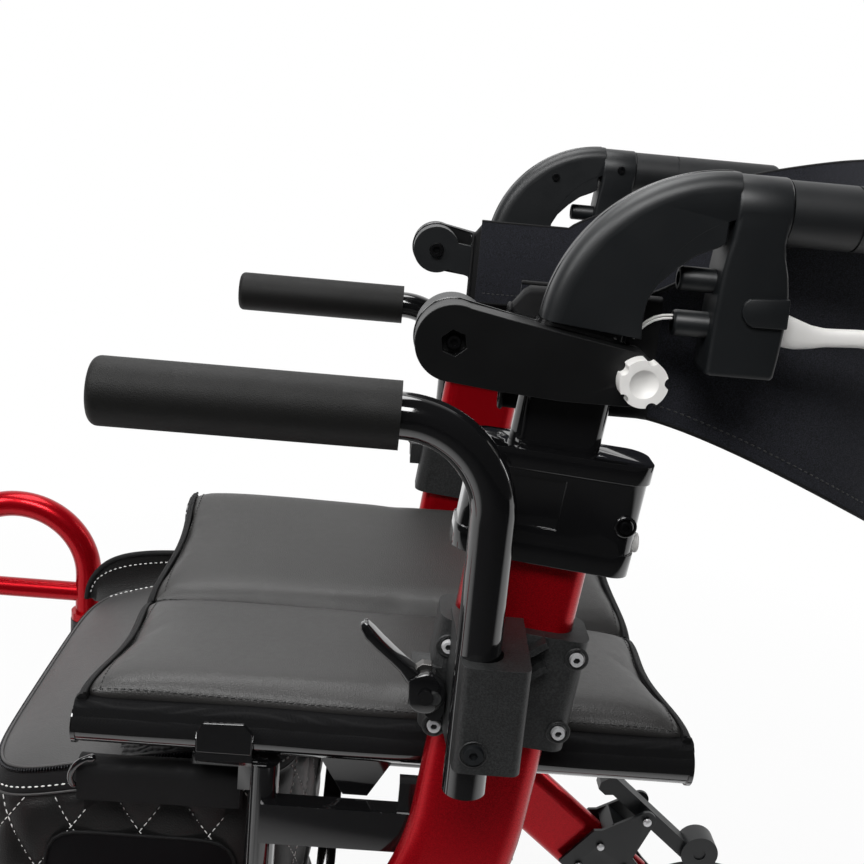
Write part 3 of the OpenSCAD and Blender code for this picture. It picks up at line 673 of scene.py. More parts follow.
def screw_tree():
    t = Tree("socket_screws", [("Sides", "Int", 28), ("Recess", "Float", 0.52), ("Finish", "Material", None)])
    head = t.node("GeometryNodeMeshCone", {}, {"Vertices": t.get("Sides"), "Radius Top": 0.86,
                                               "Radius Bottom": 1.0, "Depth": 0.62})
    hexagon = t.node("GeometryNodeMeshCylinder", {}, {"Vertices": 6, "Radius": t.get("Recess"), "Depth": 0.8})
    raised = t.node("GeometryNodeTransform", {}, {0: hexagon, "Translation": (0, 0, 0.62)})
    return t.heads(t.node("GeometryNodeMeshBoolean", {"operation": "DIFFERENCE"}, {"Mesh 1": head, "Mesh 2": raised}))


def rivet_tree():
    t = Tree("round_rivets", [("Sides", "Int", 20), ("Finish", "Material", None)])
    dome = t.node("GeometryNodeMeshUVSphere", {}, {"Segments": t.get("Sides"), "Rings": 10, "Radius": 1.0})
    return t.heads(t.node("GeometryNodeTransform", {}, {0: dome, "Scale": (1, 1, 0.5)}))


def stitch_tree():
    t = Tree("stitch_row", [("Pitch", "Float", 0.0042), ("Share", "Float", 0.62), ("Thickness", "Float", 0.0006),
                            ("Finish", "Material", None)])
    line = t.node("GeometryNodeMeshToCurve", {}, {0: t.get("Geometry")})
    points = t.node("GeometryNodeCurveToPoints", {"mode": "LENGTH"}, {"Curve": line, "Length": t.get("Pitch")},
                    "Points")
    long = t.node("ShaderNodeMath", {"operation": "MULTIPLY"}, {0: t.get("Pitch"), 1: t.get("Share")})
    reach = t.node("ShaderNodeMath", {"operation": "MULTIPLY"}, {0: long, 1: 0.5})
    size = t.node("ShaderNodeCombineXYZ", {}, {0: t.get("Thickness"), 1: t.get("Thickness"), 2: reach})
    bead = t.node("GeometryNodeMeshUVSphere", {}, {"Segments": 6, "Rings": 5, "Radius": 1.0})
    return t.scatter(points, bead, points.node.outputs["Tangent"], size)


def tree(kind):
    makers = {"screw": screw_tree, "rivet": rivet_tree, "stitch": stitch_tree}
    if kind not in TREES:
        TREES[kind] = makers[kind]()
    return TREES[kind]


def spots(name, places, kind, finish, body, slot, **values):
    """Fasteners on one body: places are (point, outward axis, radius)."""
    mesh = bpy.data.meshes.new(name)
    mesh.from_pydata([tuple(Vector(p) + SHIFT) for p, _, _ in places], [], [])
    axis = mesh.attributes.new("axis", "FLOAT_VECTOR", "POINT")
    axis.data.foreach_set("vector", [c for _, a, _ in places for c in a])
    size = mesh.attributes.new("size", "FLOAT", "POINT")
    size.data.foreach_set("value", [r for _, _, r in places])
    made = smooth(tree(kind).grow(join(name, mesh), finish, values), 30.0)
    return mount(made, body, slot)


def stitches(name, lines, finish, pitch, share, thickness):
    """Rows of thread along lines of points, in the shared frame."""
    verts, edges = [], []
    for line in lines:
        base = len(verts)
        verts += [tuple(p) for p in line]
        edges += [(base + i, base + i + 1) for i in range(len(line) - 1)]
    mesh = bpy.data.meshes.new(name)
    mesh.from_pydata(verts, edges, [])
    made = tree("stitch").grow(join(name, mesh), finish, {"Pitch": pitch, "Share": share, "Thickness": thickness})
    made.data.shade_smooth()
    return made


class ROLLATOR_OT_finishes(bpy.types.Operator):
    """Gives each rigid node its finish, and rounds the edges of the moulded ones"""
    bl_idname = "rollator.finishes"
    bl_label = "Frame and moulded pieces"

    KNOB = (-0.137, 0.833)
    PAINTED = (("frame", "red"), ("hanger", "red"), ("arm_foam", "foam"), ("grip", "grip"),
               ("handle_post", "gloss"), ("front_tyre", "tyre"), ("rear_tyre", "tyre"))
    MOULDED = (("inner_frame", "gloss", 0.0012), ("socket", "satin", 0.0012),
               ("elbow", "satin", 0.0018), ("back_arm", "satin", 0.0016),
               ("fork", "gloss", 0.0016), ("front_wheel", "satin", 0.0012), ("rear_fork", "satin", 0.0012),
               ("rear_wheel", "satin", 0.0012), ("brake_arm", "satin", 0.0014), ("footplate", "satin", 0.0014))

    def collar_fit(self, p):
        """The collar's upper half is a little lower than its casting."""
        w = 0.24 * max(0.0, (p.z - 0.757) / math.cos(POST_LEAN))
        return Vector((p.x + w * math.sin(POST_LEAN), p.y, p.z - w * math.cos(POST_LEAN)))

    def block_fit(self, p):
        """The armrest's block is drawn in a little at the front."""
        rear = -0.0915 + SHIFT.x
        top = 0.005 * clipped((p.z - 0.640) / 0.03)
        return Vector((rear + 0.9 * (p.x - rear), p.y, p.z - top)) if abs(p.y) > 0.264 else p.copy()

    def tube_fit(self, p):
        """The armrest's tube ends a little higher below its block."""
        return Vector((p.x, p.y, p.z + (0.006 if p.z < 0.6 else 0.0)))

    def knob_fit(self, p):
        """The knob is a little smaller round its axis."""
        centre = Vector((self.KNOB[0], 0.0, self.KNOB[1])) + SHIFT
        return Vector((centre.x + 0.92 * (p.x - centre.x), p.y, centre.z + 0.92 * (p.z - centre.z)))

    def button_fit(self, p):
        """The release button stands out less."""
        inner = -0.147 + SHIFT.x
        return Vector((inner + 0.72 * (p.x - inner), p.y, p.z))

    def clamps(self, side):
        """The back bracket with its hexagon pocket, the armrest's pieces, the collar, the knob and the button."""
        s = sign_of(side)
        hexagon = [(BACK_PIVOT[0] + 0.0074 * math.cos(a), BACK_PIVOT[1] + 0.0005 + 0.0074 * math.sin(a))
                   for a in (math.pi / 3 * k + 0.35 for k in range(6))]
        softened(side + "_back_bracket", "cast", 0.0016,
                 [shifted(prism(hexagon, s * 0.2465, s * 0.26))])
        softened(side + "_arm_tube", "gloss", 0, fit=self.tube_fit)
        softened(side + "_collar", "gloss", 0.0022, fit=self.collar_fit, crisp=False)
        softened(side + "_arm_bracket", "nylon", 0.0034, fit=self.block_fit)
        softened(side + "_knob", "ivory", 0.0012, fit=self.knob_fit)
        softened(side + "_button", "ivory", 0.0012, fit=self.button_fit)

    def execute(self, context):
        FINISHES.update(make_finishes())
        for side in SIDES:
            for name, finish in self.PAINTED:
                wear(NODES[side + "_" + name], finish)
            for name, finish, width in self.MOULDED:
                softened(side + "_" + name, finish, width)
            self.clamps(side)
        for name in ("brace_a", "brace_b"):
            softened(name, "gloss", 0.0012)
        for name, finish in (("seat_left", "vinyl"), ("seat_right", "vinyl"), ("bag", "quilt"), ("back_band", "band")):
            wear(NODES[name], finish)
        return {"FINISHED"}


class ROLLATOR_OT_brakes(bpy.types.Operator):
    """Brake housings drawn down from their rings, with lever tabs, cable barrels, bare cables and levers"""
    bl_idname = "rollator.brakes"
    bl_label = "Brakes"

    RING = (-0.2086, -0.1786, 0.0190)
    # drop below the grip, rear edge, front edge, half thickness
    SHELL = ((0.000, -0.2082, -0.1790, 0.0190), (0.008, -0.2078, -0.1788, 0.0188), (0.016, -0.2076, -0.1782, 0.0182),
             (0.024, -0.2092, -0.1768, 0.0174), (0.033, -0.2122, -0.1758, 0.0167), (0.044, -0.2144, -0.1753, 0.0162),
             (0.062, -0.2152, -0.1750, 0.0158), (0.078, -0.2144, -0.1748, 0.0156), (0.0900, -0.2134, -0.1748, 0.0154),
             (0.0912, -0.2126, -0.1756, 0.0146))
    TAB = ((-0.1888, 0.8752), (-0.1896, 0.8790), (-0.1922, 0.8815), (-0.2149, 0.8830), (-0.2155, 0.8662),
           (-0.1965, 0.8658), (-0.1928, 0.8676), (-0.1896, 0.8716))
    # cable barrels: drop below the grip, radius; and along a barrel: place, how much thinner
    BARRELS = ((0.0406, 0.0070), (0.0655, 0.0075))
    BARREL_END = ((-0.186, 0.0), (-0.1572, 0.0), (-0.1560, 0.0006), (-0.1556, 0.0014), (-0.1556, 0.0030),
                  (-0.1580, 0.0032))
    CABLE = ((-0.1590, 0.8664), (-0.1545, 0.8664), (-0.1500, 0.8659), (-0.1455, 0.8644), (-0.1415, 0.8618),
             (-0.1380, 0.8580), (-0.1352, 0.8532))
    # along the lever: place, mid height, half height, half thickness
    LEVER = ((-0.1985, 0.8645, 0.0060, 0.0045), (-0.2040, 0.8640, 0.0092, 0.0056), (-0.2184, 0.8634, 0.0096, 0.0060),
             (-0.2256, 0.8618, 0.0088, 0.0060), (-0.2347, 0.8608, 0.0067, 0.0058), (-0.2435, 0.8611, 0.0052, 0.0056),
             (-0.2627, 0.8622, 0.0050, 0.0056), (-0.2850, 0.8612, 0.0056, 0.0058), (-0.3060, 0.8590, 0.0064, 0.0060),
             (-0.3300, 0.8555, 0.0072, 0.0060), (-0.3450, 0.8520, 0.0070, 0.0056), (-0.3515, 0.8500, 0.0046, 0.0040))

    def housing(self, side):
        rows = []
        for drop in np.linspace(0.0, 0.0912, 58):
            at = [np.interp(drop, [q[0] for q in self.SHELL], [q[k] for q in self.SHELL]) for k in (1, 2, 3)]
            rows.append([Vector((x, POST_Y + y, GRIP_Z - drop)) + SHIFT
                         for x, y in round_rect(*at[:2], -at[2], at[2], 0.0028, 5)])
        shell = skin_over(rows)
        x0, x1, r = self.RING
        ring = [Vector((x, POST_Y, GRIP_Z)) + SHIFT
                for x in (x0, x0 + 0.0007, x0 + 0.0016, x1 - 0.0016, x1 - 0.0007, x1)]
        slot = prism([(-0.240, GRIP_Z - 0.083), (-0.240, GRIP_Z - 0.044), (-0.194, GRIP_Z - 0.044),
                      (-0.194, GRIP_Z - 0.083)], POST_Y - 0.007, POST_Y + 0.007)
        body = piece("housing", *handed(shell, side), "satin")
        cut = shifted(slot)
        smooth(carve(body, [handed(cut, side)]), 40.0)
        extra = [sweep(ring, [r - 0.0012, r - 0.0003, r, r, r - 0.0003, r - 0.0012], 56)]
        for drop, radius in self.BARRELS:
            path = [Vector((x, POST_Y, GRIP_Z - drop)) + SHIFT for x, _ in self.BARREL_END]
            extra.append(sweep(path, [radius - less for _, less in self.BARREL_END], 36))
        part = merged(extra)
        rim = piece("rim", *handed(part, side), "satin", 40.0)
        tab = shifted(prism(list(self.TAB), POST_Y + 0.0145, POST_Y + 0.0182))
        flap = rounded(piece("tab", *handed(tab, side), "satin"), 0.0011)
        made = wear(united("brake_housing_shell_" + side, (body, rim, flap)), "satin")
        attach(made, side + "_handle")
        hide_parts(side + "_brake_housing")
        return (made, slot_of(side + "_brake_housing"))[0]

    def lever(self, side):
        rows = []
        for t in np.linspace(0.0, len(self.LEVER) - 1.0, 67):
            x, z, tall, thick = between(self.LEVER, t)
            rows.append([Vector((x, POST_Y + thick * squared(math.cos(a), 0.7), z + tall * squared(math.sin(a), 0.7)))
                         + SHIFT for a in angles(28)])
        made = piece("brake_lever_grip_" + side, *handed(skin_over(rows), side), "ivory", 50.0)
        relax = made.modifiers.new("relax", "SMOOTH")
        relax.factor, relax.iterations = 0.5, 4
        smooth(plain(made), 60.0)
        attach(made, side + "_lever")
        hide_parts(side + "_brake_lever")
        return (made, slot_of(side + "_brake_lever"))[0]

    def cable(self, side):
        """Two bare strands that leave the lower barrel and dip into the elbow."""
        parts = []
        for rise in (0.0, -0.0018):
            line = [Vector((x, POST_Y, z + rise)) + SHIFT for x, z in self.CABLE]
            parts.append(sweep(line, 0.00075, 10, up=(0, 1, 0)))
        part = merged(parts)
        made = piece("brake_cable_" + side, *handed(part, side), "ivory", 60.0)
        return mount(made, side + "_handle", "black_plastic")

    def seams(self, side):
        """The elbow's parting ridge and the bright joint between the back bracket's two layers."""
        arc = [Vector((-0.180 + 0.0993 * math.sin(a), POST_Y, GRIP_Z - 0.0797 + 0.0993 * math.cos(a))) + SHIFT
               for a in np.linspace(0.03, math.radians(82), 60)]
        x, z = BACK_PIVOT
        edge = [(x + 0.0215 * math.cos(a), z + 0.0215 * math.sin(a))
                for a in np.linspace(math.radians(-60), math.radians(95), 40)]
        edge += [(x - 0.0315, z + 0.0152), (x - 0.060, z + 0.0101), (x - 0.104, z + 0.0026)]
        joint = [Vector((px, POST_Y + 0.0014, pz)) + SHIFT for px, pz in edge]
        part = merged([sweep(arc, 0.0007, 8, up=(0, 1, 0)), sweep(joint, 0.0008, 8, up=(0, 1, 0))])
        made = piece("moulding_seams_" + side, *handed(part, side), "gloss", 60.0)
        return mount(made, side + "_handle", "black_plastic")

    def execute(self, context):
        for make in (self.housing, self.lever, self.cable, self.seams):
            for side in SIDES:
                make(side)
        return {"FINISHED"}


class ROLLATOR_OT_levers(bpy.types.Operator):
    """Cam levers of the armrest clamps, the webs of the elbows and the clips over the seat rails"""
    bl_idname = "rollator.levers"
    bl_label = "Levers, webs and clips"

    # along the paddle: place, height, half width across, half thickness
    PADDLE = ((0.0036, 0.6791, 0.0026, 0.0009), (0.0026, 0.6779, 0.0050, 0.0017), (-0.0012, 0.6733, 0.0066, 0.0022),
              (-0.0076, 0.6672, 0.0070, 0.0021), (-0.0148, 0.6609, 0.0068, 0.0020), (-0.0221, 0.6544, 0.0062, 0.0022),
              (-0.0273, 0.6490, 0.0058, 0.0030), (-0.0324, 0.6437, 0.0056, 0.0034))
    PADDLE_Y = 0.2572
    LUG = (-0.036, 0.639)
    # how far out each piece begins and ends
    CAM_Y, CAP_Y, NECK_Y = (0.2505, 0.2648), (0.2640, 0.2676), (0.2502, 0.2570)
    GUARD_Y, CLIP_Y = (0.2480, 0.2612), (0.2116, 0.2146)
    CROWN = ((-0.0255, 0.6483), (-0.0307, 0.6509), (-0.0358, 0.6525), (-0.0401, 0.6517))
    GUARD = ((-0.0375, 0.6247), (-0.0411, 0.6213), (-0.0453, 0.6216), (-0.0478, 0.6274), (-0.0478, 0.6362))
    NECK = ((-0.0285, 0.6520), (-0.0330, 0.6555), (-0.0388, 0.6552), (-0.0392, 0.6451), (-0.0313, 0.6438))
    WEB = ((-0.1358, 0.8730), (-0.1419, 0.8845), (-0.1507, 0.8940), (-0.1605, 0.9020), (-0.1708, 0.9066),
           (-0.1756, 0.9097), (-0.1756, 0.9260), (-0.1605, 0.9165), (-0.1507, 0.9080), (-0.1419, 0.8970),
           (-0.1370, 0.8840), (-0.1335, 0.8735))
    CLIP = ((0.0675, 0.5620), (0.0675, 0.5768), (0.0730, 0.5832), (0.0985, 0.5825), (0.1024, 0.5755), (0.1024, 0.5620))

    def paddle(self):
        """A thumb paddle that is broad across the chair and thin along its own bend."""
        rows = []
        for t in np.linspace(0.0, len(self.PADDLE) - 1.0, 43):
            x, z, wide, thick = between(self.PADDLE, t)
            ring = []
            for a in angles(32):
                across, out = squared(math.cos(a), 0.45), 1.15 * thick * squared(math.sin(a), 0.45)
                ring.append(Vector((x + out, self.PADDLE_Y + wide * across, z - out)))
            rows.append(ring)
        return skin_over(rows)

    def arc(self, radius, degrees):
        return [(self.LUG[0] + radius * math.cos(math.radians(d)), self.LUG[1] + radius * math.sin(math.radians(d)))
                for d in degrees]

    def build(self, name, part, side, finish, width=0.0):
        """A piece on one side of the chair, with its edges rounded by a width."""
        made = piece(name, *handed(shifted(part), side), finish, 32.0 if width else 40.0)
        return rounded(made, width) if width else made

    def cam(self, side):
        """The turning lever with its paddle, crown and cap, and the guard that stays behind it."""
        lever, bracket = side + "_cam_lever", side + "_arm_bracket"
        blade = self.build("paddle", self.paddle(), side, "gloss")
        crown = prism([*self.CROWN, *self.arc(0.0116, range(130, 326, 13))], *self.CAM_Y)
        wedge = self.build("wedge", crown, side, "gloss", 0.0014)
        cap = self.build("cap", prism(self.arc(0.0047, range(0, 360, 15)), *self.CAP_Y), side, "gloss")
        made = wear(united("cam_paddle_" + side, (blade, wedge, cap)), "gloss")
        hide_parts(lever)
        neck = self.build("cam_neck_" + side, prism(self.NECK, *self.NECK_Y), side, "zinc", 0.0008)
        for one in (made, neck):
            mount(one, body_of(lever), slot_of(lever))
        guard = prism([*self.GUARD, *self.arc(0.0121, range(195, 271, 15))], *self.GUARD_Y)
        mount(self.build("cam_guard_" + side, guard, side, "gloss", 0.0010), body_of(bracket), slot_of(bracket))

    def web(self, side):
        """The wall inside the elbow's bend."""
        wall = prism(self.WEB, POST_Y - 0.0158, POST_Y + 0.0158)
        mount(self.build("elbow_web_" + side, wall, side, "satin", 0.0022), side + "_handle", slot_of(side + "_elbow"))

    def clips(self, side):
        """The plates of the two saddles, over the outside of the seat's rail."""
        plates = merged([prism([(f * x, z) for x, z in self.CLIP], *self.CLIP_Y) for f in (1, -1)])
        made = self.build("rail_clips_" + side, plates, side, "gloss", 0.0006)
        mount(made, body_of(side + "_inner_frame"), slot_of(side + "_inner_frame"))

    def execute(self, context):
        for make in (self.cam, self.web, self.clips):
            for side in SIDES:
                make(side)
        return {"FINISHED"}


def swell(made, voxel, pressure, cap, frames=20):
    """Blows a closed pad up a little as cloth, and keeps each point within cap of where it was."""
    remesh = made.modifiers.new("even", "REMESH")
    remesh.mode, remesh.voxel_size = "VOXEL", voxel
    plain(made)
    before = np.array([v.co for v in made.data.vertices])
    cloth = made.modifiers.new("swell", "CLOTH")
    cloth.settings.use_pressure = True
    cloth.settings.uniform_pressure_force = pressure
    cloth.settings.effector_weights.gravity = 0.0
    cloth.settings.mass = 0.35
    cloth.point_cache.frame_start, cloth.point_cache.frame_end = 1, frames
    for number in range(1, frames + 1):
        bpy.context.scene.frame_set(number)
    plain(made)
    bpy.context.scene.frame_set(1)
    after = np.array([v.co for v in made.data.vertices])
    move = after - before
    far = np.linalg.norm(move, axis=1, keepdims=True)
    after = before + move * np.minimum(1.0, cap / np.maximum(far, 1e-9))
    made.data.vertices.foreach_set("co", after.astype(np.float32).ravel())
    relax = made.modifiers.new("relax", "SMOOTH")
    relax.factor, relax.iterations = 0.5, 3
    fine = made.modifiers.new("fine", "SUBSURF")
    fine.levels = fine.render_levels = 1
    plain(made)
    made.data.shade_smooth()
    return made


def drape(surface, points, lift):
    """Drops points straight down onto a surface and lifts them off it a little."""
    hits = [surface.ray_cast(p + Vector((0, 0, 0.2)), Vector((0, 0, -1))) for p in points]
    return [hit + normal * lift for hit, normal, _, _ in hits if hit is not None]


def surface_of(made):
    return BVHTree.FromPolygons([v.co.copy() for v in made.data.vertices],
                                [tuple(p.vertices) for p in made.data.polygons])


def across_seat(made):
    """Bakes the seat piece's placement into its own mesh."""
    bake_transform(made)
    return made


SEAT_X = (-0.2138, 0.1796)
# how wide half a seat is, how far it rises from the middle to its rail, and how far its pad bulges
SEAT_HALF, SEAT_RISE, SEAT_BULGE = 0.2026, 0.0265, 0.0118


def edge_fall(u):
    """1 at the front and rear edges of the seat, and almost 0 between them."""
    return abs(2 * u - 1) ** 8


def seat_height(v, u):
    return (RAIL_Z - 0.001 + SEAT_RISE * v + SEAT_BULGE * (1 - abs(2 * v - 1) ** 9) * (1 - 0.75 * edge_fall(u)))


def seat_point(v, u):
    """A point of the seat's top: v from the middle out to the rail, u from the rear to the front."""
    bow = (u - 0.5) * -0.014 * math.sin(math.pi * v) ** 2 * edge_fall(u)
    return Vector((SEAT_X[0] + u * (SEAT_X[1] - SEAT_X[0]) + bow, 0.0004 + v * SEAT_HALF, seat_height(v, u))) + SHIFT


class ROLLATOR_OT_seat(bpy.types.Operator):
    """Two stuffed seat pads with bound ends, stitched edges and a woven strip round each rail"""
    bl_idname = "rollator.seat"
    bl_label = "Seat"

    PAD_THICK, PAD_VOXEL = 0.0145, 0.0046
    STRIP_REACH = 0.002
    # where the strip starts under the pad's edge, outwards and up
    STRIP = ((0.188, 0.5840), (0.197, 0.5862), (0.2025, 0.5858), (0.2062, 0.5825))
    # rows of stitches: how far out they run along the chair, and how far forward across it
    ROWS_ALONG, ROWS_ACROSS, STITCH_LIFT = (0.1962, 0.0052), (-0.2185, 0.1525), 0.0003

    def pad(self, side):
        """Top and bottom skins that meet in a drawn-in edge all round."""
        rows, nx, nv = [], 56, 34
        for i in range(nx + 1):
            u = i / nx
            top, low = [], []
            for j in range(nv + 1):
                v = j / nv
                p = seat_point(v, u)
                near = min(1.0, min(u, 1 - u) / 0.035) ** 0.5 * min(1.0, min(v + 0.004, 1 - v) / 0.05) ** 0.5
                thick = self.PAD_THICK * near
                p.z -= 0.003 + 0.0035 * (1 - near)
                top.append(p)
                low.append(p - Vector((0, 0, 0.0018 + thick)))
            rows.append(top + low[::-1])
        verts, faces = grid(rows, closed_cols=True)
        m = 2 * (nv + 1)
        for base in (0, nx * m):
            for j in range(nv):
                faces.append((base + j, base + j + 1, base + m - 2 - j, base + m - 1 - j))
        part = handed((verts, faces), side)
        made = piece("seat_pad_" + side, *part, "vinyl")
        swell(made, self.PAD_VOXEL, setting("seat", "pad_pressure"), setting("seat", "pad_swell"))
        wear(made, "vinyl")
        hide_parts("seat_" + side)
        return made

    def strip(self, side):
        """Woven strip from under the pad's edge, round the outside of the rail."""
        bends = [math.radians(42 - 41 * k / 12) for k in range(13)]
        line = [*self.STRIP, *((RAIL_Y + 0.0146 * math.cos(a), RAIL_Z + 0.0146 * math.sin(a)) for a in bends)]
        rows = []
        for i in range(61):
            x = SEAT_X[0] - self.STRIP_REACH + (SEAT_X[1] - SEAT_X[0] + 2 * self.STRIP_REACH) * i / 60
            rows.append([Vector((x, y, z + 0.0005 * math.sin(41 * x + 30 * z))) + SHIFT for y, z in line])
        return skinned(piece("seat_strip_" + side, *handed(grid(rows), side), "strip"), 0.0013)

    def bindings(self, side):
        """Tape bound over the front and rear edges of the pad."""
        parts = []
        for u, ahead in ((0.007, -1.0), (0.993, 1.0)):
            path = [seat_point(0.006 + 0.99 * j / 40, u) + Vector((ahead * 0.0004, 0, -0.0072)) for j in range(41)]
            ridge = [p + Vector((ahead * -0.0018, 0, 0.0042)) for p in path]
            parts += [sweep(path, 0.0032, 12, flat=1.3), sweep(ridge, 0.0012, 8)]
        part = merged(parts)
        return piece("seat_binding_" + side, *handed(part, side), "trim", 50.0)

    def execute(self, context):
        for side in SIDES:
            pad, s = self.pad(side), sign_of(side)
            top = surface_of(pad)
            lines = [[Vector((x, s * y, 0.6)) for x in np.linspace(-0.220, 0.156, 90)] for y in self.ROWS_ALONG]
            lines += [[Vector((x, s * y, 0.6)) for y in np.linspace(0.012, 0.195, 50)] for x in self.ROWS_ACROSS]
            rows = [drape(top, line, self.STITCH_LIFT) for line in lines]
            seam = stitches("seat_stitches_" + side, [r for r in rows if len(r) > 1], "dark_thread",
                            setting("seat", "stitch_pitch"), 0.66, 0.0005)
            for made in (pad, self.strip(side), self.bindings(side), seam):
                across_seat(made)
        return {"FINISHED"}


BAND_Y = POST_Y - 0.0276
BAND_Z = BACK_PIVOT[1] - 0.0075
BAND_LOW, BAND_HIGH = BAND_Z - 0.037, BAND_Z + 0.037
# where the cloth leaves the arms, how far it lies along them, how far back it reaches, and how its corners bend
BAND_X, BAND_GRIP, BAND_DEEP, BAND_BEND = -0.152, 0.080, 0.232, 0.62
# share of each half that is free of its arm, and how far the upper and lower edges spread at the back
BAND_FREE, BAND_UP, BAND_DOWN = 0.72, 0.087, 0.098
BAND_STEPS = 3000


def band_at(t):
    """Centre line of the band seen from above, and how far its edges have spread there."""
    e = 2 * abs(t - 0.5)
    side = 1.0 if t < 0.5 else -1.0
    if e > BAND_FREE:
        return Vector((BAND_X + BAND_GRIP * (e - BAND_FREE) / (1 - BAND_FREE), side * BAND_Y, 0.0)), 0.0
    a = math.pi / 2 * e / BAND_FREE
    c, s = max(0.0, math.cos(a)), math.sin(a)
    return Vector((BAND_X - BAND_DEEP * c ** BAND_BEND, side * BAND_Y * s ** BAND_BEND, 0.0)), c


def band_stations(count):
    """Even steps along the band: point, inward direction, upper and lower edge, share of its length."""
    fine = [band_at(k / BAND_STEPS) for k in range(BAND_STEPS + 1)]
    run = np.concatenate([[0.0], np.cumsum([(q[0] - p[0]).length for p, q in zip(fine, fine[1:])])])
    out = []
    for want in np.linspace(0.0, run[-1], count):
        k = min(BAND_STEPS - 2, max(1, int(np.searchsorted(run, want))))
        p, c = fine[k]
        ahead = (fine[min(BAND_STEPS, k + 12)][0] - fine[max(0, k - 12)][0]).normalized()
        inward = Vector((-ahead.y, ahead.x, 0.0))
        out.append((p, inward, BAND_HIGH + BAND_UP * c ** 0.5, BAND_LOW - BAND_DOWN * c ** 0.8, want / run[-1]))
    return out, run[-1]


def band_point(station, v, lift=0.0):
    """A point of the cloth, v from its lower edge to its upper one, with its slack folds."""
    p, inward, high, low, t = station
    slack = math.sin(math.pi * clipped((t - 0.12) / 0.76)) ** 2
    fold = 0.0011 * math.sin(47 * t + 5.0 * v) + 0.0009 * math.sin(83 * t - 3.0 * v + 1.0)
    puff = 0.003 * math.sin(math.pi * v)
    z = low + v * (high - low)
    return p + inward * (0.0016 + slack * fold + puff + lift) + Vector((0, 0, z)) + SHIFT


class ROLLATOR_OT_band(bpy.types.Operator):
    """Back band: one stretched piece of cloth with a turned hem, sewn round the two arms"""
    bl_idname = "rollator.band"
    bl_label = "Back band"

    def cloth(self, stations, length):
        rows = [[band_point(s, v / 24) for v in range(25)] for s in stations]
        area = 0.0
        for a, b in zip(rows, rows[1:]):
            for k in range(24):
                area += (a[k + 1] - a[k]).cross(b[k] - a[k]).length / 2
                area += (a[k + 1] - b[k + 1]).cross(b[k] - b[k + 1]).length / 2
        made = skinned(piece("band_cloth", *grid(rows), "band", 60.0), 0.0022)
        tall = max(s[2] - s[3] for s in stations)
        tall + 0.002
        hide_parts("back_band")
        return made

    def edges(self, stations):
        parts = [sweep([band_point(s, v) for s in stations], 0.0014, 8) for v in (0.0, 1.0)]
        return piece("band_edges", *merged(parts), "trim", 60.0)

    def hems(self, stations):
        lines = [[band_point(s, 0.009 / (s[2] - s[3]), face) for s in stations[2:-2]] for face in (-0.0014, 0.0014)]
        return stitches("band_stitches", lines, "band_thread", 0.0044, 0.62, 0.0005)

    def sleeve(self, side):
        """Cloth pocket over the end of one arm, open towards the pivot."""
        z0, z1 = BAND_LOW + 0.0005, BAND_HIGH - 0.0005
        loop = round_rect(0.1985, 0.2096, z0, z1, 0.004, 6)
        rows = []
        for i in range(26):
            x = -0.1535 + 0.087 * i / 25
            drop = 0.0118 * clipped((x + 0.0752) / 0.0085)
            rows.append([Vector((x, y + 0.0004 * math.sin(90 * x + 60 * z),
                                 z - drop * max(0.0, (z - BAND_Z) / (z1 - BAND_Z)))) + SHIFT for y, z in loop])
        parts = [grid(rows, closed_cols=True)]
        rim = [p + Vector((0.0001, 0.0, 0.0)) for p in rows[-1]]
        parts.append(sweep(rim + rim[:1], 0.0014, 6, caps=False, up=(1, 0, 0)))
        part = merged(parts)
        made = piece("band_sleeve_" + side, *handed(part, side), "trim", 50.0)
        return mount(made, side + "_back", "band_cloth")

    def execute(self, context):
        stations, length = band_stations(221)
        for made in (self.cloth(stations, length), self.edges(stations), self.hems(stations)):
            mount(made, "left_back", "band_cloth")
            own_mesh(made)
        for side in SIDES:
            self.sleeve(side)
        return {"FINISHED"}


BAG_X, BAG_LONG, BAG_WIDE, BAG_FLOOR = 0.151, 0.113, 0.168, 0.268
BAG_BAR = (0.178, 0.524)


# the brim's level rear part, its front end's place and height, its slope, and how sharply the two meet
BRIM_LEVEL, BRIM_FRONT, BRIM_LOW, BRIM_SLOPE, BRIM_BEND = 0.533, 0.244, 0.501, 0.25, 160


def bag_brim(x):
    """Height of the bag's top edge: it rises to the rear and levels off under the seat."""
    rise = BRIM_LOW + BRIM_SLOPE * (BRIM_FRONT - x)
    return BRIM_LEVEL - math.log(1 + math.exp((BRIM_LEVEL - rise) * BRIM_BEND)) / BRIM_BEND


def bag_share(x, z):
    """Share of the bag's height at a place along it and a height."""
    return (z - BAG_FLOOR) / (bag_brim(x) - BAG_FLOOR)


def bag_point(h, a, lift=0.0):
    """A point of the bag's side: share h of its height, angle a round it, lifted off it."""
    c, s = math.cos(a), math.sin(a)
    q = (abs(c) ** 6 + abs(s) ** 6) ** (-1 / 6)
    out = 1 - 0.13 * (1 - h) ** 3 - 0.06 * h ** 12
    x = BAG_X + (BAG_LONG * out * q + 0.006 * math.sin(math.pi * h)) * c + lift * c
    y = BAG_WIDE * out * q * s + lift * s
    z = BAG_FLOOR + (bag_brim(x) - BAG_FLOOR) * h - 0.006 * (1 - h) * (1 - (s * c) ** 2)
    return Vector((x, y, z)) + SHIFT


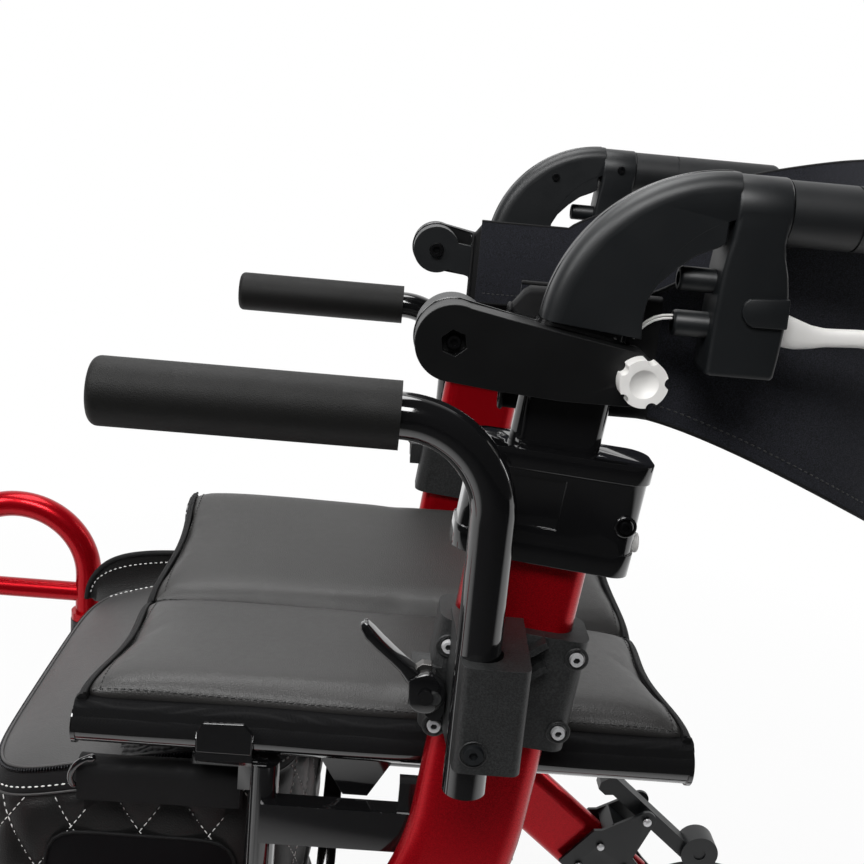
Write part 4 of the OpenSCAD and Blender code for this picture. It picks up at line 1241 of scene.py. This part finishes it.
class BagWall:
    """Runs round the bag's side: distances along it, and the diamonds that are sewn on it."""

    # a diamond's height and one of its corners; then shares of the wall's height:
    # where the quilting starts and ends, and where the way round is measured
    TALL, VERTEX_X, VERTEX_Z = 0.068, 0.192, 0.4705
    FOOT, HEAD, ROUND = 0.10, 0.925, 0.85

    def __init__(self):
        steps = 1440
        self.angles = angles(steps, 1)
        ring = [bag_point(self.ROUND, a) for a in self.angles]
        self.run = np.concatenate([[0.0], np.cumsum([(q - p).length for p, q in zip(ring, ring[1:])])])
        near = [k for k in range(steps) if ring[k].y > 0]
        start = min(near, key=lambda k: abs(ring[k].x - SHIFT.x - self.VERTEX_X))
        self.origin, self.total = self.run[start], self.run[-1]
        self.wide = self.total / round(self.total / setting("bag", "quilt_width"))

    def angle(self, u):
        return float(np.interp((u + self.origin) % self.total, self.run, self.angles))

    def level(self, z, u):
        """Share of the wall's height at which it is z high."""
        return bag_share(bag_point(self.ROUND, self.angle(u)).x - SHIFT.x, z)

    def puff(self, u, z):
        a = math.sin(math.pi * (u / self.wide + (z - self.VERTEX_Z) / self.TALL))
        b = math.sin(math.pi * (u / self.wide - (z - self.VERTEX_Z) / self.TALL))
        return setting("bag", "puff") * abs(a * b) ** 0.5

    def seam(self, k, lean):
        """One sewn line of the diamonds, from the foot of the wall to its head."""
        line = []
        for j in range(61):
            z = 0.295 + 0.215 * j / 60
            u = self.wide * k + lean * self.wide * (z - self.VERTEX_Z) / self.TALL
            h = self.level(z, u)
            if self.FOOT < h < self.HEAD:
                line.append(bag_point(h, self.angle(u), 0.0006))
        return line


class ROLLATOR_OT_bag(bpy.types.Operator):
    """Quilted bag on two bars: wall, lid, rim, zip, pockets, sleeves and all its stitching"""
    bl_idname = "rollator.bag"
    bl_label = "Bag"

    # outline of the rim, along the bag and up
    RIM = ((0.2685, 0.492), (0.267, 0.506), (0.259, 0.521), (0.247, 0.532), (0.230, 0.539), (0.205, 0.5435),
           (0.170, 0.5455), (0.130, 0.546), (0.090, 0.545), (0.066, 0.541), (0.060, 0.532))
    # section of a sleeve on either side of its bar, outwards and up
    INSIDE = ((0.1650, 0.470), (0.1660, 0.490), (0.1672, 0.505), (0.1690, 0.516))
    OUTSIDE = ((0.1866, 0.517), (0.1862, 0.511), (0.1856, 0.5045))
    HOOK = ((0.178, 0.180, 0.5180), (0.1835, 0.183, 0.5130), (0.1870, 0.187, 0.5143), (0.1885, 0.189, 0.5231),
            (0.1842, 0.190, 0.5316), (0.1782, 0.190, 0.5364), (0.1715, 0.190, 0.5380))
    NET_FRONT = 0.163
    # a side pocket's centre, and half its width and height
    POCKET = (0.144, 0.3935, 0.066, 0.0745)

    def wall(self, wall):
        """Floor and side, with the diamonds puffed out between their seams."""
        rows, n = [], 460
        for j in range(106):
            h = j / 105
            row = []
            for i in range(n):
                u = wall.total * i / n
                a = wall.angle(u)
                p = bag_point(h, a)
                sewn = clipped((h - wall.FOOT) / 0.05) * clipped((wall.HEAD - h) / 0.03)
                lift = wall.puff(u, p.z) * sewn + (0.0016 if h > wall.HEAD + 0.005 else 0.0)
                row.append(bag_point(h, a, lift))
            rows.append(row)
        low = []
        for k in range(1, 7):
            r = 1 - k / 7
            low.append([Vector((BAG_X + SHIFT.x + (p.x - SHIFT.x - BAG_X) * r, p.y * r, p.z - 0.008 * (1 - r * r)))
                        for p in rows[0]])
        verts, faces = grid(low[::-1] + rows, closed_cols=True)
        faces.append(tuple(range(n)))
        made = piece("bag_wall", verts, faces, "quilt", 70.0)
        made.data.materials.append(FINISHES["trim"].mat)
        for face in made.data.polygons:
            if bag_share(face.center.x - SHIFT.x, face.center.z) > wall.HEAD + 0.004:
                face.material_index = 1
        return made

    def lid(self):
        """Crowned lid of smooth vinyl whose rear part is a ribbed net."""
        rows = []
        for r in (j / 40 for j in range(41)):
            row = []
            for a in angles(240):
                p = bag_point(1.0, a)
                x = BAG_X + (p.x - SHIFT.x - BAG_X) * r
                y = p.y * r
                crown = 0.009 * (1 - r ** 6) - 0.003 * math.exp(-((x - 0.235) / 0.02) ** 2) * (1 - r)
                fold = 0.0008 * math.sin(60 * x + 25 * y) * math.sin(34 * y) * (1 - r ** 4)
                row.append(Vector((x, y, bag_brim(x) + crown + fold)) + SHIFT)
            rows.append(row)
        made = piece("bag_lid", *grid(rows, closed_cols=True), "lid", 70.0)
        made.data.materials.append(FINISHES["net"].mat)
        for face in made.data.polygons:
            if face.center.x - SHIFT.x < self.NET_FRONT:
                face.material_index = 1
        return made

    def piping(self, wall):
        """Cord along the lid's edge, which is the upper edge of the strip below it, and along the strip's lower edge.
        """
        parts = []
        for h, r in ((1.0, 0.0012), (wall.HEAD + 0.004, 0.0010)):
            ring = [bag_point(h, a, 0.001) for a in angles(180, 1)]
            parts.append(sweep(ring, r, 8, caps=False))
        return piece("bag_piping", *merged(parts), "lid", 70.0)

    def zip(self):
        """Coil zip round the front of the lid, its slider and pull."""
        ring = [bag_point(1.0, math.radians(d), 0.0030) + Vector((0, 0, -0.0016)) for d in range(-118, 119, 2)]
        teeth = stitches("bag_zip", [ring], "black_screw", 0.0021, 0.9, 0.0019)
        at = bag_point(1.0, math.radians(-66), 0.003) + Vector((0, 0, 0.003))
        parts = [sweep([at + Vector((k * 0.003 - 0.006, 0, 0.001 * math.sin(k * 0.8))) for k in range(5)],
                       [0.001, 0.0034, 0.0038, 0.0034, 0.001], 10, flat=0.6),
                 sweep([at + Vector((0.004, 0.001 * k, 0.002 - 0.0035 * k)) for k in range(7)],
                       [0.0006, 0.0022, 0.0024, 0.0026, 0.0028, 0.0026, 0.0008], 10, flat=0.35, up=(1, 0, 0))]
        return teeth, piece("bag_zip_pull", *merged(parts), "black_screw", 50.0)

    def rim(self):
        """Stiff flap that stands at the far edge of the lid, with a corded and stitched edge."""
        fine = np.array(between(self.RIM, np.linspace(0, len(self.RIM) - 1, 81))).T
        for _ in range(14):
            fine[1:-1] = (fine[:-2] + fine[1:-1] + fine[2:]) / 3
        rows = []
        for x, z in fine:
            foot = bag_brim(min(x, 0.255)) - 0.006
            row = []
            for j in range(9):
                s = j / 8
                lean = 0.006 * s + 0.004 * math.sin(math.pi * s)
                row.append(Vector((min(x, 0.258 + (x - 0.258) * s) if x > 0.258 else x, -0.1525 - lean,
                                   foot + (z - foot) * s)) + SHIFT)
            rows.append(row)
        made = skinned(piece("bag_rim", *grid(rows), "quilt", 70.0), 0.0028)
        top = [r[-1] for r in rows]
        cord = piece("bag_rim_cord", *sweep(top, 0.0027, 10), "trim", 60.0)
        return made, cord, [r[6] + Vector((0, 0.0021, 0)) for r in rows[6:]]

    def pocket(self, side):
        """Dark pouch let into the quilting, with a bound edge."""
        cx, cz, hw, hh = self.POCKET
        out = []
        for r in (j / 18 for j in range(19)):
            row = []
            for a in angles(72):
                c, s = math.cos(a), math.sin(a)
                q = (abs(c) ** 7 + abs(s) ** 7) ** (-1 / 7)
                x, z = cx + hw * r * q * c, cz + hh * r * q * s
                y = self.wall_y(x, bag_share(x, z))
                row.append(Vector((x, y + 0.0034 + 0.002 * (1 - r ** 4), z)) + SHIFT)
            out.append(row)
        panel = grid(out, closed_cols=True)
        bound = sweep(out[-1] + out[-1][:1], 0.0013, 8, caps=False, up=(0, 1, 0))
        return (piece("bag_pocket_" + side, *handed(panel, side), "pouch", 70.0),
                piece("bag_pocket_edge_" + side, *handed(bound, side), "trim", 70.0))

    def wall_y(self, x, h):
        """How far out the wall is at one place along the bag."""
        lo, hi = math.radians(20), math.radians(160)
        for _ in range(40):
            mid = (lo + hi) / 2
            if bag_point(h, mid).x - SHIFT.x > x:
                lo = mid
            else:
                hi = mid
        return bag_point(h, (lo + hi) / 2).y

    def sleeve(self, side):
        """Cloth loop over one bar: round the bar, down outside it as a flap, and back in to the bag."""
        y, z = BAG_BAR
        bends = [math.radians(170 - 170 * k / 10) for k in range(11)]
        line = [*self.INSIDE, *((y + 0.0088 * math.cos(a), z + 0.0084 * math.sin(a)) for a in bends), *self.OUTSIDE]
        rows = []
        for i in range(45):
            x = 0.0765 + 0.1075 * i / 44
            rows.append([Vector((x, py + 0.0005 * math.sin(70 * x + 40 * pz), pz + 0.0007 * math.sin(31 * x))) + SHIFT
                         for py, pz in line])
        return skinned(piece("bag_sleeve_" + side, *handed(grid(rows), side), "trim", 60.0), 0.0016)

    def hook(self, side):
        """Bent-up end of the bar, which keeps the sleeve on."""
        fine = []
        for a, b in zip(self.HOOK, self.HOOK[1:]):
            fine += [Vector(a).lerp(Vector(b), k / 4) for k in range(4)]
        fine.append(Vector(self.HOOK[-1]))
        for _ in range(3):
            fine = [fine[0]] + [(p + q + r) / 3 for p, q, r in zip(fine, fine[1:], fine[2:])] + [fine[-1]]
        radius = [0.0022] * (len(fine) - 3) + [0.0026, 0.0028, 0.0018]
        part = shifted(sweep(fine, radius, 12, up=(0, 1, 0)))
        made = piece("bag_hook_" + side, *handed(part, side), "gloss", 60.0)
        return mount(made, side + "_side", "black_paint")

    def execute(self, context):
        wall = BagWall()
        shell = self.wall(wall)
        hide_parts("bag")
        rim, cord, rim_line = self.rim()
        lid = self.lid()
        top = surface_of(lid)
        far_seam = drape(top, [Vector((x, -0.1440, 0.6)) + SHIFT for x in np.linspace(0.242, 0.07, 60)], 0.0006)
        count = round(wall.total / wall.wide)
        white = [wall.seam(k, lean) for k in range(count) for lean in (1, -1)]
        strip = [[bag_point(0.952, math.radians(d), 0.0026) for d in range(0, 361, 2)]]
        pieces = [shell, lid, self.piping(wall), *self.zip(), rim, cord]
        for side in SIDES:
            pieces += [*self.pocket(side), self.sleeve(side)]
            self.hook(side)
        pieces.append(stitches("bag_quilt_stitches", [line for line in white if len(line) > 2],
                               "white_thread", 0.0052, 0.7, 0.00046))
        pieces.append(stitches("bag_edge_stitches", strip + [rim_line, far_seam], "white_thread", 0.0048, 0.62, 0.0006))
        for made in pieces:
            mount(made, "left_side", "vinyl")
            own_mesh(made)
        return {"FINISHED"}


class ROLLATOR_OT_fasteners(bpy.types.Operator):
    """Screws, bolts, rivets, axle nuts and the bosses round them"""
    bl_idname = "rollator.fasteners"
    bl_label = "Fasteners"

    LEG_ANGLE = math.radians(40.1316)
    # places along the chair and up
    CLAMP = ((-0.0475, 0.6645), (-0.1232, 0.6620), (-0.1180, 0.6135), (-0.0435, 0.6125))
    BLOCK, COLLAR = ((-0.0632, 0.6255),), ((-0.1415, 0.7458),)
    REAR_AXLE, FRONT_AXLE = (-0.388, 0.1), (0.160, 0.125)
    # up along the rear leg, and square to it
    LEG_RIVETS = ((0.178, 0.020), (0.178, -0.012), (0.140, 0.020), (0.140, -0.014))
    FLAP_RIVET = (0.165, 0.075)

    def ring(self, name, places, out, radius, thickness, finish, slot, side):
        """Raised rims round screws that face outwards."""
        parts = []
        s = sign_of(side)
        for x, z in places:
            path = [Vector((x + radius * math.cos(a), s * out, z + radius * math.sin(a))) + SHIFT
                    for a in angles(28, 1)]
            parts.append(sweep(path, thickness, 8, caps=False, up=(0, s, 0)))
        return mount(piece(name + "_" + side, *merged(parts), finish, 50.0), side + "_side", slot)

    def on_leg(self, a, n):
        """A place on the rear leg: a up along it from the axle, n square to it."""
        x, z = self.REAR_AXLE
        return (x + a * math.cos(self.LEG_ANGLE) - n * math.sin(self.LEG_ANGLE),
                z + a * math.sin(self.LEG_ANGLE) + n * math.cos(self.LEG_ANGLE))

    def side(self, side):
        s, facets = sign_of(side), setting("hardware", "screw_sides")

        def outer(places, y, radius):
            return [((x, s * y, z), (0, s, 0), radius) for x, z in places]

        def inner(x, y, z, radius):
            return ((x, s * y, z), (0, -s, 0), radius)

        def both(place, reach, radius):
            return [((place[0], s * (POST_Y + f * reach), place[1]), (0, s * f, 0), radius) for f in (1, -1)]

        rivets = [r for at in self.LEG_RIVETS for r in both(self.on_leg(*at), 0.0245, 0.0041)]
        rivets += both(self.on_leg(*self.FLAP_RIVET), 0.0252, 0.0046)
        pivots = outer([(-0.0335, 0.8445)], 0.2480, 0.0042)
        pivots += [inner(-0.1363, 0.2117, 0.9180, 0.0036), inner(-0.1947, 0.2088, 0.9295, 0.0036)]
        pins = [((0.425 + f * 0.0402, s * 0.205, 0.196), (f, 0, 0), 0.0052) for f in (1, -1)]
        for name, places, kind, finish, body, values in (
                ("clamp_screws", outer(self.CLAMP, 0.2497, 0.0043), "screw", "steel", "side", {"Sides": facets}),
                # dark six-sided domes in the bottom of the clamp screws' hex recesses: painted shade in the steel
                # sockets
                ("clamp_sockets", outer(self.CLAMP, 0.2504, 0.0024), "rivet", "cast", "side", {"Sides": 6}),
                ("block_screw", outer(self.BLOCK, 0.3007, 0.0062), "screw", "satin", "side",
                 {"Sides": facets, "Recess": 0.42}),
                ("collar_screw", outer(self.COLLAR, 0.2484, 0.0042), "screw", "black_screw", "side", {"Sides": facets}),
                ("pivot_bolt", pivots, "screw", "black_screw", "handle", {"Sides": facets}),
                ("arm_screw", [inner(-0.0335, 0.2006, 0.8440, 0.0068)], "screw", "black_screw", "back",
                 {"Sides": facets}),
                ("leg_rivets", rivets, "rivet", "steel", "side", {"Sides": 20}),
                ("rear_axle_nuts", both(self.REAR_AXLE, 0.0272, 0.0085), "screw", "steel", "side", {"Sides": 6}),
                ("front_axle_nuts", both(self.FRONT_AXLE, 0.0322, 0.0085), "screw", "steel", "caster", {"Sides": 6}),
                ("hinge_pins", pins, "rivet", "steel", "foot_hanger", {"Sides": 20})):
            spots(name + "_" + side, places, kind, finish, side + "_" + body, "black_paint", **values)
        self.ring("clamp_bosses", self.CLAMP, 0.2494, 0.0064, 0.0011, "nylon", "grained_nylon", side)
        self.ring("block_boss", self.BLOCK, 0.3021, 0.0076, 0.0006, "nylon", "grained_nylon", side)
        self.ring("collar_boss", self.COLLAR, 0.2482, 0.0056, 0.0010, "gloss", "black_paint", side)

    def execute(self, context):
        for side in SIDES:
            self.side(side)
        spots("brace_bolts", [((0.0311, 0.0, 0.4471), (1, 0, 0), 0.0062), ((-0.0136, 0.0, 0.4471), (-1, 0, 0), 0.0068)],
              "screw", "steel", "brace_a_bar", "black_paint", Sides=setting("hardware", "screw_sides"))
        return {"FINISHED"}


class Sky(Finish):
    """The world's own tree, with the helpers of a finish."""

    def __init__(self, world):
        world.use_nodes = True
        self.tree = world.node_tree


class ROLLATOR_OT_stage(bpy.types.Operator):
    """Pale floor, soft studio light and the camera"""
    bl_idname = "rollator.stage"
    bl_label = "Stage"

    # the camera's place, its yaw, pitch and roll in degrees, and its sensor and lens in millimetres
    CAMERA_PLACE, CAMERA_TURN = (-0.015, 0.87687, 0.96245), (2.384, 15.108, -5.352)
    SENSOR, LENS = 36.0, 48.75
    # what the lamps point at; and each lamp's name, place, width and height, and share of the key light's power
    AIM = (0.0, 0.0, 0.7)
    LAMPS = (("key", (0.45, -0.45, 2.75), (1.5, 1.3), 0.74), ("front", (0.3, 1.75, 2.5), (1.2, 0.7), 0.85),
             ("side", (1.6, 1.05, 2.1), (0.9, 0.9), 0.5), ("rear", (-1.9, -0.7, 1.6), (0.6, 1.5), 0.2))

    def rays(self, shader):
        """Camera rays, and the rays of mirrors and glass."""
        outs = shader.node("ShaderNodeLightPath", {}, {}).out.node.outputs
        eye, glossy, clear = (Socket(shader, outs["Is " + kind + " Ray"])
                              for kind in ("Camera", "Glossy", "Transmission"))
        return eye, (glossy + clear).clip()

    def floor(self):
        """A pale sweep that runs out into the dark room behind the camera, where its colour is painted dark as painted
        shade.
        """
        tone = setting("stage", "floor_tone")
        floor = Finish("pale_floor", (tone, tone, tone), 0.9, specular=0.1)
        x, y, z = floor.axes()
        away = (((x * x + y * y) ** 0.5 - 0.6) / 1.3).clip()
        # painted shade: the floor's colour goes dark towards the camera, for the unlit room that glossy parts reflect
        room = ((y - 0.5) / 0.5).clip()
        floor.set("Base Color", floor.mix(room, (tone, tone, tone), (0.06, 0.06, 0.06)))
        eye, mirror = self.rays(floor)
        glow = floor.node("ShaderNodeEmission", {}, {"Color": (1, 1, 1, 1), "Strength": 1.0})
        share = (eye * (0.9 + 0.1 * away) + mirror * (1.0 - room) * 0.8).clip()
        both = floor.node("ShaderNodeMixShader", {}, {0: share, 1: Socket(floor, floor.shader.outputs[0]), 2: glow})
        floor.tree.links.new(both.out, floor.tree.nodes["Material Output"].inputs["Surface"])
        rows = [[(9.0 * i, 9.0 * j, 0.0) for j in (-1, 0, 1)] for i in (-1, 0, 1)]
        verts, faces = grid(rows)
        mesh = bpy.data.meshes.new("floor")
        mesh.from_pydata(verts, [], [tuple(reversed(f)) for f in faces])
        ground = join("floor", mesh)
        ground.data.materials.append(floor.mat)

    def backdrop(self, scene):
        scene.world = bpy.data.worlds.new("studio")
        sky = Sky(scene.world)
        x, y, z = sky.axes(sky.node("ShaderNodeTexCoord", {}, {}, "Generated"))
        eye, mirror = self.rays(sky)
        room = ((y + 0.7) / 0.5).clip()
        share = (eye + mirror * (1.0 - room)).clip()
        dim = sky.node("ShaderNodeBackground", {}, {"Color": (0.95, 0.97, 1.0, 1.0),
                                                    "Strength": setting("stage", "room_light")})
        dark = sky.node("ShaderNodeBackground", {}, {"Color": (1, 1, 1, 1), "Strength": 0.03})
        dim = sky.node("ShaderNodeMixShader", {}, {0: mirror, 1: dim, 2: dark})
        white = sky.node("ShaderNodeBackground", {}, {"Color": (1, 1, 1, 1), "Strength": 1.0})
        both = sky.node("ShaderNodeMixShader", {}, {0: share, 1: dim, 2: white})
        sky.tree.links.new(both.out, sky.tree.nodes["World Output"].inputs["Surface"])

    def lamps(self, scene):
        for name, place, size, share in self.LAMPS:
            data = bpy.data.lights.new(name, "AREA")
            data.shape, data.size, data.size_y = "RECTANGLE", *size
            data.energy = setting("stage", "key_power") * share
            lamp = bpy.data.objects.new(name, data)
            scene.collection.objects.link(lamp)
            lamp.location = place
            lamp.rotation_euler = (Vector(self.AIM) - Vector(place)).to_track_quat("-Z", "Y").to_euler()

    def camera(self, scene):
        yaw, pitch, roll = (math.radians(d) for d in self.CAMERA_TURN)
        ahead = Vector((-math.sin(yaw) * math.cos(pitch), -math.cos(yaw) * math.cos(pitch), -math.sin(pitch)))
        level = Vector((-math.cos(yaw), math.sin(yaw), 0.0))
        sunk = ahead.cross(level)
        right = level * math.cos(roll) + sunk * math.sin(roll)
        down = sunk * math.cos(roll) - level * math.sin(roll)
        data = bpy.data.cameras.new("photo_view")
        data.sensor_width, data.lens, data.clip_end = self.SENSOR, self.LENS, 60.0
        camera = bpy.data.objects.new("photo_view", data)
        scene.collection.objects.link(camera)
        turn = Matrix((right, -down, -ahead)).transposed()
        camera.matrix_world = Matrix.Translation(self.CAMERA_PLACE) @ turn.to_4x4()
        scene.camera = camera

    def execute(self, context):
        self.floor()
        self.backdrop(context.scene)
        self.lamps(context.scene)
        self.camera(context.scene)
        context.scene.view_settings.view_transform = "Standard"
        return {"FINISHED"}


STEPS = (ROLLATOR_OT_finishes, ROLLATOR_OT_brakes, ROLLATOR_OT_levers, ROLLATOR_OT_seat, ROLLATOR_OT_band,
         ROLLATOR_OT_bag, ROLLATOR_OT_fasteners, ROLLATOR_OT_stage)


class ROLLATOR_PT_panel(bpy.types.Panel):
    """Lists the chair's pieces in the order that they are made"""
    bl_idname = "ROLLATOR_PT_panel"
    bl_label = "Rollator transport chair"
    bl_space_type = "VIEW_3D"
    bl_region_type = "UI"
    bl_category = "Rollator"

    def draw(self, context):
        for key, group in SETTINGS:
            box = self.layout.box()
            for name in group.__annotations__:
                box.prop(getattr(context.scene, key), name)
        for step in STEPS:
            self.layout.operator(step.bl_idname)


def register():
    for kind in [group for _, group in SETTINGS] + list(STEPS) + [ROLLATOR_PT_panel]:
        bpy.utils.register_class(kind)
    for key, group in SETTINGS:
        setattr(bpy.types.Scene, key, PointerProperty(type=group))


def unregister():
    for key, _ in SETTINGS:
        delattr(bpy.types.Scene, key)
    for kind in [ROLLATOR_PT_panel] + list(reversed(STEPS)) + [group for _, group in SETTINGS]:
        bpy.utils.unregister_class(kind)


def main():
    register()
    for step in STEPS:
        group, name = step.bl_idname.split(".")
        getattr(getattr(bpy.ops, group), name)()


if __name__ == "__main__":
    main()
